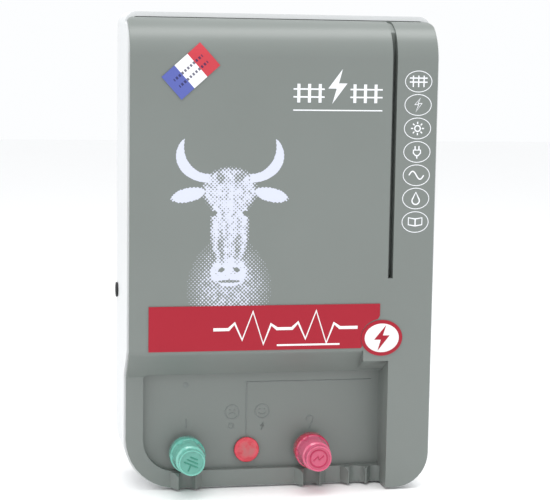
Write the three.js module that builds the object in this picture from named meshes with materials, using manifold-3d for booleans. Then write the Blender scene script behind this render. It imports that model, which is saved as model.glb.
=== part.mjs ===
// A wall-hung mains fence energizer, in millimetres.
// The pieces are drawn face on: x across, y up and z out of the wall. The group that holds them is
// turned a quarter turn at the end, so that +Z is up, the front looks along -Y and the origin is the
// middle of the flat back, in the plane of the wall.
import * as THREE from "three";
import { mergeVertices } from "three/addons/utils/BufferGeometryUtils.js";
import Module from "manifold-3d";

const wasm = await Module();
wasm.setup();

// Case, overall.
const caseWidth = 203.4;
const caseHeight = 314;
const caseDepth = 73;
const caseCornerTop = 8;
const caseCornerBottomLeft = 35;
const caseCornerBottomRight = 24;
const shellWall = 3;
const backPlate = 3;

// Front cover.
const panel = 2.8;
const coverInset = 1.3;
const coverCornerTop = 4;
const crownRadius = 25;
const rimDrop = 18;
const lowerHeight = 93.7;
const rampHeight = 18.5;
const skirt = 9;
const skirtWall = 2;
const stripWidth = 28.8;
const tabWidth = 17.2;
const tabHeight = 7.5;
const tabRampHeight = 9.5;

// Terminal bay, the pocket in the lower face.
const bayDrop = 22.9;
const bayLeftRim = 11.2;
const bayBottomRim = 11.2;
const bayHeight = 65.5;
const bayCorner = 22;
const bayCornerTop = 3;
const sharpCorner = 0.5;

// Styling groove between the face and the right-hand strip.
const grooveWidth = 3.2;
const grooveDepth = 9;
const grooveAboveRamp = 47.6;
const grooveShallow = 1.2;
const grooveFromStrip = 1.7;

// Wire guides on the lower rim.
const guideRise = 6;
const guideRadius = 5.6;
const guideLand = 0.5;
const guideFlank = 4.6;
const guideTopBevel = 3;
const thirdGuideFromStrip = 16.4;
const fourthGuideFromStrip = 4.4;

// Terminals.
const knobWallGap = 0.7;
const earthFromBaySide = 28.8;
const fenceFromStrip = 48;
const studRadius = 3;
const studLength = 38;
const studBehindFloor = 9;
const studChamfer = 0.6;
const seatNutRadius = 9;
const seatNutThick = 1.2;
const washerRadius = 10;
const washerThick = 1.5;
const wireGap = 2.1;
const knobLength = 27.6;
const knobBaseRadius = 11.8;
const knobCapRadius = 8.5;
const knobBaseLength = 8;
const knobCapLength = 6;
const knobFlutes = 6;
const knobFluteRadius = 3.6;
const knobFluteReach = 1.98;
const knobRoof = 4;
const knobChamfer = 0.8;
const knobStep = 0.9;
const knobNeckStep = 1.2;
const knobRim = 1;
const knobFaceSunk = 0.8;
const knobBoreClearance = 0.6;
const insertRadius = 5;
const insertLength = 13;
const innerNutFlats = 10;
const innerNutThick = 5;
const lugRadius = 6;
const lugThick = 0.8;
const lugBarrelRadius = 2.3;
const lugBarrelLength = 9;
const lugNeckLength = 3;
const lugNeckWidth = 4;

// Indicator lamp.
const lampLeftOfMiddle = 0.9;
const lensRadius = 8.5;
const lensProud = 3;
const lensBarrelRadius = 6;
const lensBoreRadius = 4.4;
const lensBarrelLength = 10;
const lensBevel = 1.2;
const lensWindow = 0.8;
const bulbRadius = 3;
const bulbLength = 12;
const bulbDome = 0.9;
const lampRingThick = 2;
const lampRingWidth = 3;

// Case screws, driven from the back: how far in from the case's side, top and bottom.
const screwFromSide = 15.7;
const screwFromTop = 19;
const middleScrewFromSide = 13.7;
const middleScrewUp = 14;
const leftScrewFromSide = 17.7;
const leftScrewFromBottom = 33;
const rightScrewFromBottom = 21;
const bossRadius = 5.5;
const postRadius = 4.5;
const bossHeight = 27.7;
const headRecess = 22;
const caseScrewRadius = 1.6;
const caseScrewHead = 3.2;
const caseScrewHeadHeight = 2.4;
const caseScrewLength = 20;
const caseScrewTip = 2;
const caseScrewSlot = 0.8;
const caseScrewSlotLength = 3.84;

// Hanging keyholes in the back: two at the top and one at the bottom.
const keyholeFromSide = 25.7;
const keyholeFromTop = 41;
const keyholeFromBottom = 19;
const keyholeHead = 4.6;
const keyholeNeck = 2.4;
const keyholeRun = 9;
const hoodWall = 1.6;
const hoodDepth = 8;

// Mains entry in the left wall.
const glandUp = -29;
const glandOut = 8.4;
const glandRadius = 4.2;
const glandFlange = 5;
const glandBore = 3.4;
const glandProud = 1;
const glandInside = 12;
const glandNutLength = 4;
const glandNutRadius = 5.3;

// Circuit board and what it carries.
const boardFromTop = 31;
const boardWidth = 112;
const boardHeight = 100;
const boardThick = 1.6;
const boardStand = 12.4;
const boardScrewInset = 6;
const boardScrewRadius = 1.4;
const boardScrewHead = 2.8;
const boardScrewHeadHeight = 2;
const boardScrewLength = 10;
const boardPostRadius = 3.5;
const canRadius = 19;
const canLength = 64;
const canFromBoardEnd = 50;
const canFromBoardTop = 28;
const clipWidth = 12;
const clipThick = 1.2;
const clipFoot = 8;

// Heat sink and thyristor on the board.
const sinkFromLeft = 74;
const sinkFromBottom = 12;
const sinkWide = 26;
const sinkDeep = 14;
const sinkTall = 30;
const sinkWall = 2;
const thyristorWidth = 10;
const thyristorHeight = 15.5;
const thyristorThick = 4.4;
const thyristorStand = 8;
const legPitch = 2.5;
const legWidth = 1;
const legThick = 0.8;

// Fuse on the board.
const fuseFromLeft = 14;
const fuseFromBottom = 14;
const fuseLength = 20;
const fuseRadius = 2.6;
const fuseStand = 6.5;
const holderEnd = 2;
const holderWidth = 8;
const holderThick = 2.4;
const clipFromEnd = 0.5;
const clipAboveFuse = 1.4;
const clipMouth = 3.2;
const fuseClipLength = 4;
const fuseClipWidth = 6.8;

// Pulse transformer.
const coreLeftOfMiddle = 35;
const coreAboveRamp = 43;
const coreWidth = 66;
const coreHeight = 55;
const coreStack = 30;
const coreLimb = 22;
const coreBack = 17;
const coreHoleInset = 4.5;
const bobbinWall = 1.2;
const coilBuild = 8.4;
const coreScrewRadius = 1.6;
const coreScrewHead = 3;
const coreScrewHeadHeight = 2.2;
const coreScrewBite = 9;

// Wires inside the case.
const earthLeadRadius = 1.5;
const fenceLeadRadius = 1.8;
const primaryLeadRadius = 1.4;
const lampLeadRadius = 1.1;

// Labels on the face.
const labelThick = 0.3;
const bandFromSide = 12.4;
const bandFromStrip = 6.6;
const bandHeight = 29.5;
const bandAboveRamp = 1.5;
const bandCut = 8;
const roundelFromStrip = 5;
const roundelAboveRamp = 8.1;
const roundelHalfWidth = 14;
const roundelHalfHeight = 12.6;
const stickerFromSide = 38.4;
const stickerFromTop = 33.9;
const stickerLength = 33;
const stickerWidth = 19.2;
const stickerTilt = THREE.MathUtils.degToRad(42);

// Clearances.
const gap = 0.3;
const headClearance = 0.6;
const skirtClearance = 0.4;
const runningClearance = 0.08;
const threadClearance = 0.15;
const sealWidth = 1.2;
const sealThick = 1.2;

// Places that follow from the sizes above.
const beyond = caseDepth * 2;
const caseTop = caseHeight / 2;
const caseSide = caseWidth / 2;
const coverSide = caseSide - coverInset;
const coverBottom = -caseTop + coverInset;
const coverTop = caseTop - shellWall - skirtClearance;
const crownOut = caseDepth - crownRadius;
const crownUp = coverTop - crownRadius;
const rimOut = caseDepth - rimDrop;
const rampTop = coverBottom + lowerHeight;
const stripLeft = coverSide - stripWidth;
const tabLeft = stripLeft - tabWidth;
const tabTop = rampTop - tabHeight;
const bayOut = caseDepth - bayDrop;
const bayInside = bayOut - panel;
const bayLeft = -coverSide + bayLeftRim;
const bayBottom = coverBottom + bayBottomRim;
const bayTop = bayBottom + bayHeight;
const grooveEnd = rampTop + grooveAboveRamp;
const terminalUp = bayBottom + knobBaseRadius + knobWallGap;
const earthX = bayLeft + earthFromBaySide;
const fenceX = stripLeft - fenceFromStrip;
const lampX = (earthX + fenceX) / 2 - lampLeftOfMiddle;
const thirdGuideX = stripLeft - thirdGuideFromStrip;
const fourthGuideX = stripLeft - fourthGuideFromStrip;
const screwPlaces = [
  [-caseSide + screwFromSide, caseTop - screwFromTop],
  [caseSide - screwFromSide, caseTop - screwFromTop],
  [-caseSide + middleScrewFromSide, middleScrewUp],
  [caseSide - middleScrewFromSide, middleScrewUp],
  [-caseSide + leftScrewFromSide, -caseTop + leftScrewFromBottom],
  [caseSide - leftScrewFromSide, -caseTop + rightScrewFromBottom],
];
const keyholePlaces = [
  [-caseSide + keyholeFromSide, caseTop - keyholeFromTop],
  [caseSide - keyholeFromSide, caseTop - keyholeFromTop],
  [0, -caseTop + keyholeFromBottom],
];
const boardLeft = -boardWidth / 2;
const boardBottom = caseTop - boardFromTop - boardHeight;
const canCentre = [boardLeft + canFromBoardEnd, boardBottom + boardHeight - canFromBoardTop];
const coreCentre = [-coreLeftOfMiddle, rampTop + coreAboveRamp];
const bandLeft = -coverSide + bandFromSide;
const bandRight = stripLeft - bandFromStrip;
const bandBottom = rampTop + bandAboveRamp;
const bandTop = bandBottom + bandHeight;
const roundelX = stripLeft - roundelFromStrip;
const roundelUp = rampTop + roundelAboveRamp;
const stickerX = -coverSide + stickerFromSide;
const stickerUp = coverTop - stickerFromTop;
const boardBack = backPlate + boardStand;
const boardFront = boardBack + boardThick;
const onBoard = boardFront + gap;
const seatNutBack = bayOut + gap;
const washerBack = seatNutBack + seatNutThick + wireGap;
const knobBack = washerBack + washerThick + gap;
const lensBack = bayOut + gap;
const boreRadius = studRadius + runningClearance;

const grey = { color: 0x8b918f, roughness: 0.5, metalness: 0 };
const white = { color: 0xf2f3f1, roughness: 0.45, metalness: 0 };
const blackRubber = { color: 0x26272a, roughness: 0.85, metalness: 0 };
const steel = { color: 0xb9bcc0, roughness: 0.35, metalness: 0.9 };
const brass = { color: 0xc9a458, roughness: 0.35, metalness: 0.9 };
const mint = { color: 0x7dc3b2, roughness: 0.35, metalness: 0 };
const rose = { color: 0xe0567c, roughness: 0.3, metalness: 0 };
const boardGreen = { color: 0x1f6b3f, roughness: 0.55, metalness: 0 };
const labelRed = { color: 0xc23d4b, roughness: 0.4, metalness: 0 };
const plainWhite = { color: 0xf6f6f6, roughness: 0.4, metalness: 0 };
const darkPlastic = { color: 0x2b2c30, roughness: 0.5, metalness: 0 };
const copper = { color: 0xb5672f, roughness: 0.4, metalness: 0.5 };
const laminate = { color: 0x50535a, roughness: 0.55, metalness: 0.6 };
const nylon = { color: 0xe6e0d0, roughness: 0.5, metalness: 0 };
const glass = { color: 0xe8eef0, roughness: 0.1, metalness: 0, transparent: true, opacity: 0.5 };
const ceramic = { color: 0xe9e6dc, roughness: 0.8, metalness: 0 };

// A closed three.js geometry as a solid that can be cut and joined.
function toSolid(geometry) {
  const bare = geometry.clone();
  bare.deleteAttribute("normal");
  bare.deleteAttribute("uv");
  const merged = mergeVertices(bare, 1e-4);
  const mesh = new wasm.Mesh({
    numProp: 3,
    vertProperties: merged.attributes.position.array,
    triVerts: new Uint32Array(merged.index.array),
  });
  return new wasm.Manifold(mesh);
}

function toGeometry(solid) {
  const { vertProperties, triVerts } = solid.getMesh();
  const indexed = new THREE.BufferGeometry();
  indexed.setAttribute("position", new THREE.BufferAttribute(vertProperties, 3));
  indexed.setIndex(new THREE.BufferAttribute(triVerts, 1));
  const geometry = indexed.toNonIndexed();
  geometry.computeVertexNormals();
  return geometry;
}

const joined = (solids) => solids.reduce((whole, solid) => whole.add(solid));

// A closed outline with a radius at each corner: top left, top right, bottom right, bottom left.
function roundedOutline(left, right, bottom, top, radii) {
  const [topLeft, topRight, bottomRight, bottomLeft] = radii;
  const shape = new THREE.Shape();
  shape.absarc(right - bottomRight, bottom + bottomRight, bottomRight, -Math.PI / 2, 0);
  shape.absarc(right - topRight, top - topRight, topRight, 0, Math.PI / 2);
  shape.absarc(left + topLeft, top - topLeft, topLeft, Math.PI / 2, Math.PI);
  shape.absarc(left + bottomLeft, bottom + bottomLeft, bottomLeft, Math.PI, Math.PI * 1.5);
  return shape;
}

function polygon(points) {
  return new THREE.Shape(points.map(([first, second]) => new THREE.Vector2(first, second)));
}

// An outline in x and y, pushed out from one depth to another.
function prism(shape, back, front, curveSegments = 5) {
  const depth = front - back;
  const geometry = new THREE.ExtrudeGeometry(shape, { depth, bevelEnabled: false, curveSegments });
  return toSolid(geometry.translate(0, 0, back));
}

const along = {
  x: new THREE.Matrix4().makeBasis(
    new THREE.Vector3(0, 1, 0), new THREE.Vector3(0, 0, 1), new THREE.Vector3(1, 0, 0)),
  y: new THREE.Matrix4().makeBasis(
    new THREE.Vector3(0, 0, 1), new THREE.Vector3(1, 0, 0), new THREE.Vector3(0, 1, 0)),
};

// A section in y and z, pushed along x.
function prismAcross(shape, left, right, curveSegments = 8) {
  const depth = right - left;
  const geometry = new THREE.ExtrudeGeometry(shape, { depth, bevelEnabled: false, curveSegments });
  return toSolid(geometry.translate(0, 0, left).applyMatrix4(along.x));
}

// A section in z and x, pushed along y.
function prismUp(shape, bottom, top, curveSegments = 4) {
  const depth = top - bottom;
  const geometry = new THREE.ExtrudeGeometry(shape, { depth, bevelEnabled: false, curveSegments });
  return toSolid(geometry.translate(0, 0, bottom).applyMatrix4(along.y));
}

function block(left, right, bottom, top, back, front) {
  const geometry = new THREE.BoxGeometry(right - left, top - bottom, front - back);
  return toSolid(geometry.translate((left + right) / 2, (bottom + top) / 2, (back + front) / 2));
}

// A rod that stands out of the wall plane.
function rodOut(radius, x, up, back, front, sides = 12) {
  const geometry = new THREE.CylinderGeometry(radius, radius, front - back, sides);
  return toSolid(geometry.rotateX(Math.PI / 2).translate(x, up, (back + front) / 2));
}

function rodAcross(radius, left, right, up, out, sides = 16) {
  const geometry = new THREE.CylinderGeometry(radius, radius, right - left, sides);
  return toSolid(geometry.rotateZ(-Math.PI / 2).translate((left + right) / 2, up, out));
}

function rodUp(radius, x, out, bottom, top, sides = 16) {
  const geometry = new THREE.CylinderGeometry(radius, radius, top - bottom, sides);
  return toSolid(geometry.translate(x, (bottom + top) / 2, out));
}

// A turned piece on an axis out of the wall: pairs of radius and depth, from back to front.
function turned(profile, x, up, sides = 24) {
  const points = profile.map(([radius, out]) => new THREE.Vector2(radius, out));
  const geometry = new THREE.LatheGeometry(points, sides);
  return toSolid(geometry.rotateX(Math.PI / 2).translate(x, up, 0));
}

// A wire of round section through chosen points.
function wire(points, radius, steps = 20) {
  const path = new THREE.CatmullRomCurve3(points.map((point) => new THREE.Vector3(...point)));
  const section = new THREE.Shape();
  section.absarc(0, 0, radius, 0, Math.PI * 2);
  const settings = { steps, extrudePath: path, curveSegments: 4, bevelEnabled: false };
  return toSolid(new THREE.ExtrudeGeometry(section, settings));
}

const energizer = new THREE.Group();

function addPiece(name, solid, finish) {
  const mesh = new THREE.Mesh(toGeometry(solid), new THREE.MeshStandardMaterial(finish));
  mesh.name = name;
  energizer.add(mesh);
}

// Outline of the rear housing, drawn in by an inset.
function caseOutline(inset) {
  const radii = [caseCornerTop, caseCornerTop, caseCornerBottomRight, caseCornerBottomLeft];
  const inner = radii.map((radius) => Math.max(radius - inset, sharpCorner));
  return roundedOutline(-caseSide + inset, caseSide - inset, -caseTop + inset, caseTop - inset, inner);
}

// Outline of the front cover, drawn in by an inset at the sides and the bottom. Its top stays put.
function coverOutline(inset) {
  const bottomRight = caseCornerBottomRight - coverInset - inset;
  const bottomLeft = caseCornerBottomLeft - coverInset - inset;
  const corners = [coverCornerTop, coverCornerTop, bottomRight, bottomLeft];
  return roundedOutline(-coverSide + inset, coverSide - inset, coverBottom + inset, coverTop, corners);
}

// Everything between the wall and the cover's front surface, sunk back by some depth. The face
// curves back at the top, and drops by a ramp to the lower rim.
function faceSection(sink, top, height) {
  const lean = Math.atan2(rimDrop, height);
  const shift = sink * Math.tan(lean / 2);
  const face = caseDepth - sink;
  const shape = new THREE.Shape();
  shape.moveTo(-caseHeight, 0);
  shape.lineTo(coverTop - sink, 0);
  shape.absarc(crownUp, crownOut, crownRadius - sink, 0, Math.PI / 2);
  shape.lineTo(top + shift, face);
  shape.lineTo(top - height + shift, rimOut - sink);
  shape.lineTo(-caseHeight, rimOut - sink);
  return shape;
}

// The strip on the right stays at face level down to the bottom.
function stripSection(sink) {
  const shape = new THREE.Shape();
  shape.moveTo(-caseHeight, 0);
  shape.lineTo(coverTop - sink, 0);
  shape.absarc(crownUp, crownOut, crownRadius - sink, 0, Math.PI / 2);
  shape.lineTo(-caseHeight, caseDepth - sink);
  return shape;
}

function underFace(sink) {
  const face = prismAcross(faceSection(sink, rampTop, rampHeight), -caseWidth, caseWidth);
  const tab = prismAcross(faceSection(sink, tabTop, tabRampHeight), tabLeft + sink, caseWidth);
  const strip = prismAcross(stripSection(sink), stripLeft + sink, caseWidth);
  return face.add(tab).add(strip);
}

// The same, with everything behind the crown's back edge, less a lap.
function behindFace(sink, lap) {
  const behindCrown = block(-caseWidth, caseWidth, crownUp, caseHeight, -1, crownOut - lap);
  return underFace(sink).add(behindCrown);
}

function bayPocket(grow) {
  const radii = [bayCornerTop, sharpCorner, sharpCorner, bayCorner + grow];
  const outline = roundedOutline(
    bayLeft - grow, stripLeft + grow, bayBottom - grow, bayTop + grow, radii);
  return prism(outline, bayOut - grow, beyond);
}

function grooveCut(grow) {
  const left = stripLeft + grooveFromStrip - grooveWidth;
  return block(left - grow, left + grooveWidth + grow, grooveEnd - grow, caseHeight,
    caseDepth - grooveDepth - grow, beyond);
}

// A shallow channel carries the groove on over the crown to the top edge.
function shallowChannel() {
  const left = stripLeft + grooveFromStrip - grooveWidth;
  const skin = underFace(-1).subtract(underFace(grooveShallow));
  return skin.intersect(block(left, left + grooveWidth, grooveEnd, caseHeight, crownOut, beyond));
}

// One wire guide: a pad whose two crests have a half-round groove between them.
function wireGuide(x) {
  const crest = guideRadius + guideLand;
  const foot = crest + guideFlank;
  const top = bayBottom - gap;
  const pad = prismUp(polygon([
    [rimOut - panel / 2, x - foot], [rimOut, x - foot], [rimOut + guideRise, x - crest],
    [rimOut + guideRise, x + crest], [rimOut, x + foot], [rimOut - panel / 2, x + foot],
  ]), coverBottom, top);
  const groove = rodUp(guideRadius, x, rimOut + guideRise, coverBottom - 1, top + 1);
  const bevel = prismAcross(polygon([
    [top - guideTopBevel, rimOut + guideRise + 1], [top + 1, rimOut + guideRise + 1],
    [top + 1, rimOut + guideRise - guideTopBevel - 1],
  ]), x - foot, x + foot);
  return pad.subtract(groove).subtract(bevel);
}

// The last guide runs into the strip's wall.
function sideGuide(x, left) {
  const top = bayBottom - gap;
  const pad = block(left, stripLeft + panel, coverBottom, top, rimOut - panel / 2, rimOut + guideRise);
  const groove = rodUp(guideRadius, x, rimOut + guideRise, coverBottom - 1, top + 1);
  return pad.subtract(groove);
}

function frontCover() {
  const outer = prism(coverOutline(0), 0, beyond)
    .intersect(underFace(0))
    .subtract(bayPocket(0))
    .subtract(grooveCut(0))
    .subtract(shallowChannel());
  const skirtOuter = shellWall + skirtClearance - coverInset;
  const skirtInner = skirtOuter + skirtWall;
  const inside = prism(coverOutline(skirtInner), -1, beyond)
    .subtract(block(-caseSide, caseSide, coverTop - panel, caseTop, -2, beyond + 1));
  const hollow = inside
    .intersect(underFace(panel))
    .add(behindFace(skirt, skirt))
    .subtract(bayPocket(panel))
    .subtract(grooveCut(panel));
  const posts = joined(screwPlaces.map(([x, up]) =>
    rodOut(postRadius, x, up, bossHeight + gap, beyond))).intersect(outer);
  const flangeUnder = behindFace(panel, 0)
    .subtract(prism(coverOutline(skirtOuter), -2, beyond));
  const guides = [earthX, fenceX, thirdGuideX].map(wireGuide);
  guides.push(sideGuide(fourthGuideX, thirdGuideX + guideRadius + guideLand));
  const onRim = joined(guides).intersect(prism(coverOutline(0), 0, beyond));
  const pilots = screwPlaces.map(([x, up]) => rodOut(caseScrewRadius + threadClearance, x, up,
    bossHeight - 1, headRecess + caseScrewLength + 1));
  const studHoles = [earthX, fenceX].map((x) =>
    rodOut(studRadius + gap, x, terminalUp, bayInside - 1, bayOut + 1));
  const lampHole = rodOut(lensBarrelRadius + gap, lampX, terminalUp, bayInside - 1, bayOut + 1);
  return outer
    .subtract(hollow)
    .subtract(flangeUnder)
    .add(posts)
    .add(onRim)
    .subtract(joined(pilots))
    .subtract(joined(studHoles))
    .subtract(lampHole);
}

function keyhole(x, up) {
  const head = rodOut(keyholeHead, x, up - keyholeRun, -1, backPlate + gap, 16);
  const neck = block(x - keyholeNeck, x + keyholeNeck, up - keyholeRun, up, -1, backPlate + gap);
  const end = rodOut(keyholeNeck, x, up, -1, backPlate + gap, 16);
  const room = keyholeHead + gap;
  const pocket = block(x - room, x + room, up - keyholeRun - room, up + room,
    backPlate, backPlate + hoodDepth);
  return head.add(neck).add(end).add(pocket);
}

function keyholeHood(x, up) {
  const reach = keyholeHead + gap + hoodWall;
  return block(x - reach, x + reach, up - keyholeRun - reach, up + reach,
    backPlate / 2, backPlate + hoodDepth + hoodWall);
}

const boardScrewPlaces = [];
for (const x of [boardLeft + boardScrewInset, boardLeft + boardWidth - boardScrewInset]) {
  for (const up of [boardBottom + boardScrewInset, boardBottom + boardHeight - boardScrewInset]) {
    boardScrewPlaces.push([x, up]);
  }
}

const coreScrewPlaces = [];
for (const side of [-1, 1]) {
  for (const end of [-1, 1]) {
    coreScrewPlaces.push([
      coreCentre[0] + side * (coreWidth / 2 - coreHoleInset),
      coreCentre[1] + end * (coreHeight / 2 - coreHoleInset),
    ]);
  }
}

function rearHousing() {
  const front = panel + gap;
  const outer = prism(caseOutline(0), 0, beyond).intersect(behindFace(front, 0));
  const cavity = prism(caseOutline(shellWall), backPlate, beyond);
  const rebate = prism(caseOutline(shellWall - sealWidth - gap), crownOut, beyond)
    .subtract(underFace(front + sealThick + gap));
  const bosses = screwPlaces.map(([x, up]) => rodOut(bossRadius, x, up, backPlate / 2, bossHeight));
  const boardPosts = boardScrewPlaces.map(([x, up]) =>
    rodOut(boardPostRadius, x, up, backPlate / 2, boardBack - gap));
  const corePosts = coreScrewPlaces.map(([x, up]) =>
    rodOut(boardPostRadius + 1, x, up, backPlate / 2, coreBack - gap));
  const hoods = keyholePlaces.map(([x, up]) => keyholeHood(x, up));
  const additions = joined([...bosses, ...boardPosts, ...corePosts, ...hoods])
    .intersect(prism(caseOutline(shellWall / 2), 0, beyond));
  const recesses = screwPlaces.map(([x, up]) =>
    rodOut(caseScrewHead + headClearance, x, up, -1, headRecess));
  const through = screwPlaces.map(([x, up]) =>
    rodOut(caseScrewRadius + gap, x, up, headRecess - 1, bossHeight + 1));
  const boardPilots = boardScrewPlaces.map(([x, up]) =>
    rodOut(boardScrewRadius + threadClearance, x, up,
      boardFront + gap - boardScrewLength - 1, boardBack));
  const corePilots = coreScrewPlaces.map(([x, up]) =>
    rodOut(coreScrewRadius + threadClearance, x, up, coreBack - coreScrewBite - 1, coreBack));
  const glandHole = rodAcross(glandRadius + gap, -caseSide - 1, -caseSide + shellWall + 1,
    glandUp, glandOut);
  return outer
    .subtract(cavity)
    .subtract(rebate)
    .add(additions)
    .subtract(joined(recesses))
    .subtract(joined(through))
    .subtract(joined(boardPilots))
    .subtract(joined(corePilots))
    .subtract(joined(keyholePlaces.map(([x, up]) => keyhole(x, up))))
    .subtract(glandHole);
}

// The seal lies in the rebate along both sides and the bottom. The top wall overhangs the cover.
function caseSeal() {
  const front = panel + gap;
  const ring = prism(caseOutline(shellWall - sealWidth), 0, beyond)
    .subtract(prism(caseOutline(shellWall), -1, beyond + 1));
  const slice = underFace(front).subtract(underFace(front + sealThick));
  const clearTop = block(-caseSide, caseSide, -caseHeight, crownUp + crownRadius / 2, 0, beyond);
  return ring.intersect(slice).intersect(clearTop);
}

addPiece("front_cover", frontCover(), grey);
addPiece("rear_housing", rearHousing(), white);
addPiece("case_seal", caseSeal(), blackRubber);

screwPlaces.forEach(([x, up], index) => {
  const under = headRecess - gap;
  const screw = turned([
    [0, under - caseScrewHeadHeight], [caseScrewHead, under - caseScrewHeadHeight],
    [caseScrewHead, under], [caseScrewRadius, under],
    [caseScrewRadius, under + caseScrewLength - caseScrewTip], [0, under + caseScrewLength],
  ], x, up, 12);
  const slot = block(x - caseScrewSlotLength / 2, x + caseScrewSlotLength / 2, up - caseScrewSlot / 2,
    up + caseScrewSlot / 2, under - caseScrewHeadHeight - 1, under - caseScrewHeadHeight + 1);
  addPiece(`case_screw_${index + 1}`, screw.subtract(slot), steel);
});

// Mains entry: a gland through the left wall, held by a nut inside.
const glandInner = -caseSide + shellWall + gap;
const glandOuter = -caseSide - gap - glandProud;
const glandTube = rodAcross(glandRadius, -caseSide - glandProud / 2, glandInner + glandInside,
  glandUp, glandOut);
const glandHead = rodAcross(glandFlange, glandOuter, -caseSide - gap, glandUp, glandOut);
const glandHollow = rodAcross(glandBore, glandOuter - 1, glandInner + glandInside + 1,
  glandUp, glandOut);
addPiece("mains_gland", glandTube.add(glandHead).subtract(glandHollow), blackRubber);
const glandNutBody = rodAcross(glandNutRadius, glandInner, glandInner + glandNutLength,
  glandUp, glandOut, 6);
const glandNutBore = rodAcross(glandRadius + threadClearance, glandInner - 1,
  glandInner + glandNutLength + 1, glandUp, glandOut);
addPiece("gland_nut", glandNutBody.subtract(glandNutBore), darkPlastic);

function knobSolid(x) {
  const front = knobBack + knobLength;
  const shoulder = front - knobCapLength;
  const body = turned([
    [0, knobBack], [knobBaseRadius - knobChamfer, knobBack], [knobBaseRadius, knobBack + knobChamfer],
    [knobBaseRadius, knobBack + knobBaseLength],
    [knobBaseRadius - knobStep, knobBack + knobBaseLength + 1],
    [knobCapRadius + knobNeckStep, shoulder - 1], [knobCapRadius, shoulder],
    [knobCapRadius, front - knobRim], [knobCapRadius - knobRim, front],
    [knobCapRadius - 2 * knobRim, front], [knobCapRadius - 2 * knobRim, front - knobFaceSunk],
    [0, front - knobFaceSunk],
  ], x, terminalUp);
  const flutes = [];
  for (let index = 0; index < knobFlutes; index += 1) {
    const turn = (index / knobFlutes) * Math.PI * 2;
    const reach = knobBaseRadius + knobFluteReach;
    flutes.push(rodOut(knobFluteRadius, x + reach * Math.cos(turn), terminalUp + reach * Math.sin(turn),
      knobBack + knobBaseLength + 1, shoulder, 10));
  }
  const pocket = rodOut(insertRadius + gap, x, terminalUp, knobBack - 1,
    knobBack + insertLength + 2 * gap);
  const bore = rodOut(studRadius + knobBoreClearance, x, terminalUp, knobBack, front - knobRoof);
  return body.subtract(joined(flutes)).subtract(pocket).subtract(bore);
}

function ringTerminal(x, front) {
  const ring = rodOut(lugRadius, x, terminalUp, front - lugThick, front);
  const neckTop = terminalUp + lugRadius + lugNeckLength;
  const neck = block(x - lugNeckWidth / 2, x + lugNeckWidth / 2, terminalUp + studRadius + 1, neckTop,
    front - lugThick, front);
  const barrel = rodUp(lugBarrelRadius, x, front - lugBarrelRadius,
    neckTop - 1, neckTop + lugBarrelLength, 16);
  const hole = rodOut(studRadius + gap, x, terminalUp, front - 2, front + 1);
  return ring.add(neck).add(barrel).subtract(hole);
}

const lugFront = bayInside - gap;
const lugTop = terminalUp + lugRadius + lugNeckLength + lugBarrelLength;
const innerNutFront = lugFront - lugThick - gap;

function addTerminal(label, x, finish) {
  addPiece(`${label}_knob`, knobSolid(x), finish);
  const insertBack = knobBack + gap;
  const insert = rodOut(insertRadius, x, terminalUp, insertBack, insertBack + insertLength, 24)
    .subtract(rodOut(boreRadius, x, terminalUp, insertBack - 1, insertBack + insertLength + 1, 24));
  addPiece(`${label}_knob_insert`, insert, brass);
  const washer = rodOut(washerRadius, x, terminalUp, washerBack, washerBack + washerThick, 24)
    .subtract(rodOut(boreRadius, x, terminalUp, washerBack - 1, washerBack + washerThick + 1, 24));
  addPiece(`${label}_clamp_washer`, washer, steel);
  const seat = rodOut(seatNutRadius, x, terminalUp, seatNutBack, seatNutBack + seatNutThick, 24)
    .subtract(rodOut(studRadius + threadClearance, x, terminalUp, seatNutBack - 1, washerBack, 24));
  addPiece(`${label}_seat_nut`, seat, steel);
  const studBack = bayInside - studBehindFloor;
  const stud = turned([
    [0, studBack], [studRadius - studChamfer, studBack], [studRadius, studBack + studChamfer],
    [studRadius, studBack + studLength - studChamfer],
    [studRadius - studChamfer, studBack + studLength], [0, studBack + studLength],
  ], x, terminalUp);
  addPiece(`${label}_stud`, stud, steel);
  const nutCorner = innerNutFlats / Math.sqrt(3);
  const nut = rodOut(nutCorner, x, terminalUp, innerNutFront - innerNutThick, innerNutFront, 6)
    .subtract(rodOut(studRadius + threadClearance, x, terminalUp, studBack - 2, lugFront, 24));
  addPiece(`${label}_inner_nut`, nut, steel);
  addPiece(`${label}_ring_terminal`, ringTerminal(x, lugFront), steel);
}

addTerminal("earth", earthX, mint);
addTerminal("fence", fenceX, rose);

// Indicator: a hollow lens through the bay floor, a push-on ring behind it, a lamp in its bore.
const lensInside = bayInside - lensBarrelLength;
const lens = turned([
  [lensBoreRadius, lensInside], [lensBarrelRadius, lensInside], [lensBarrelRadius, lensBack],
  [lensRadius, lensBack], [lensRadius, lensBack + lensProud - lensBevel],
  [lensRadius - lensBevel, lensBack + lensProud], [0, lensBack + lensProud],
  [0, lensBack + lensWindow], [lensBoreRadius, lensBack + lensWindow], [lensBoreRadius, lensInside],
], lampX, terminalUp);
addPiece("lamp_lens", lens, { color: 0xc92f45, roughness: 0.2, metalness: 0 });
const ringFront = bayInside - gap;
const lampRing = rodOut(lensBarrelRadius + lampRingWidth, lampX, terminalUp,
  ringFront - lampRingThick, ringFront)
  .subtract(rodOut(lensBarrelRadius + gap, lampX, terminalUp, lensInside, bayInside));
addPiece("lamp_ring", lampRing, darkPlastic);
const bulbFront = lensBack;
const bulb = turned([
  [0, bulbFront - bulbLength], [bulbRadius, bulbFront - bulbLength],
  [bulbRadius, bulbFront - bulbRadius],
  [bulbRadius - bulbDome, bulbFront - bulbDome],
  [0, bulbFront],
], lampX, terminalUp, 16);
addPiece("control_lamp", bulb, glass);

// Thin labels that lie on the face and follow the crown.
function onFace(outline) {
  const skin = underFace(-gap - labelThick).subtract(underFace(-gap));
  return prism(outline, crownOut, beyond).intersect(skin);
}

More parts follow.
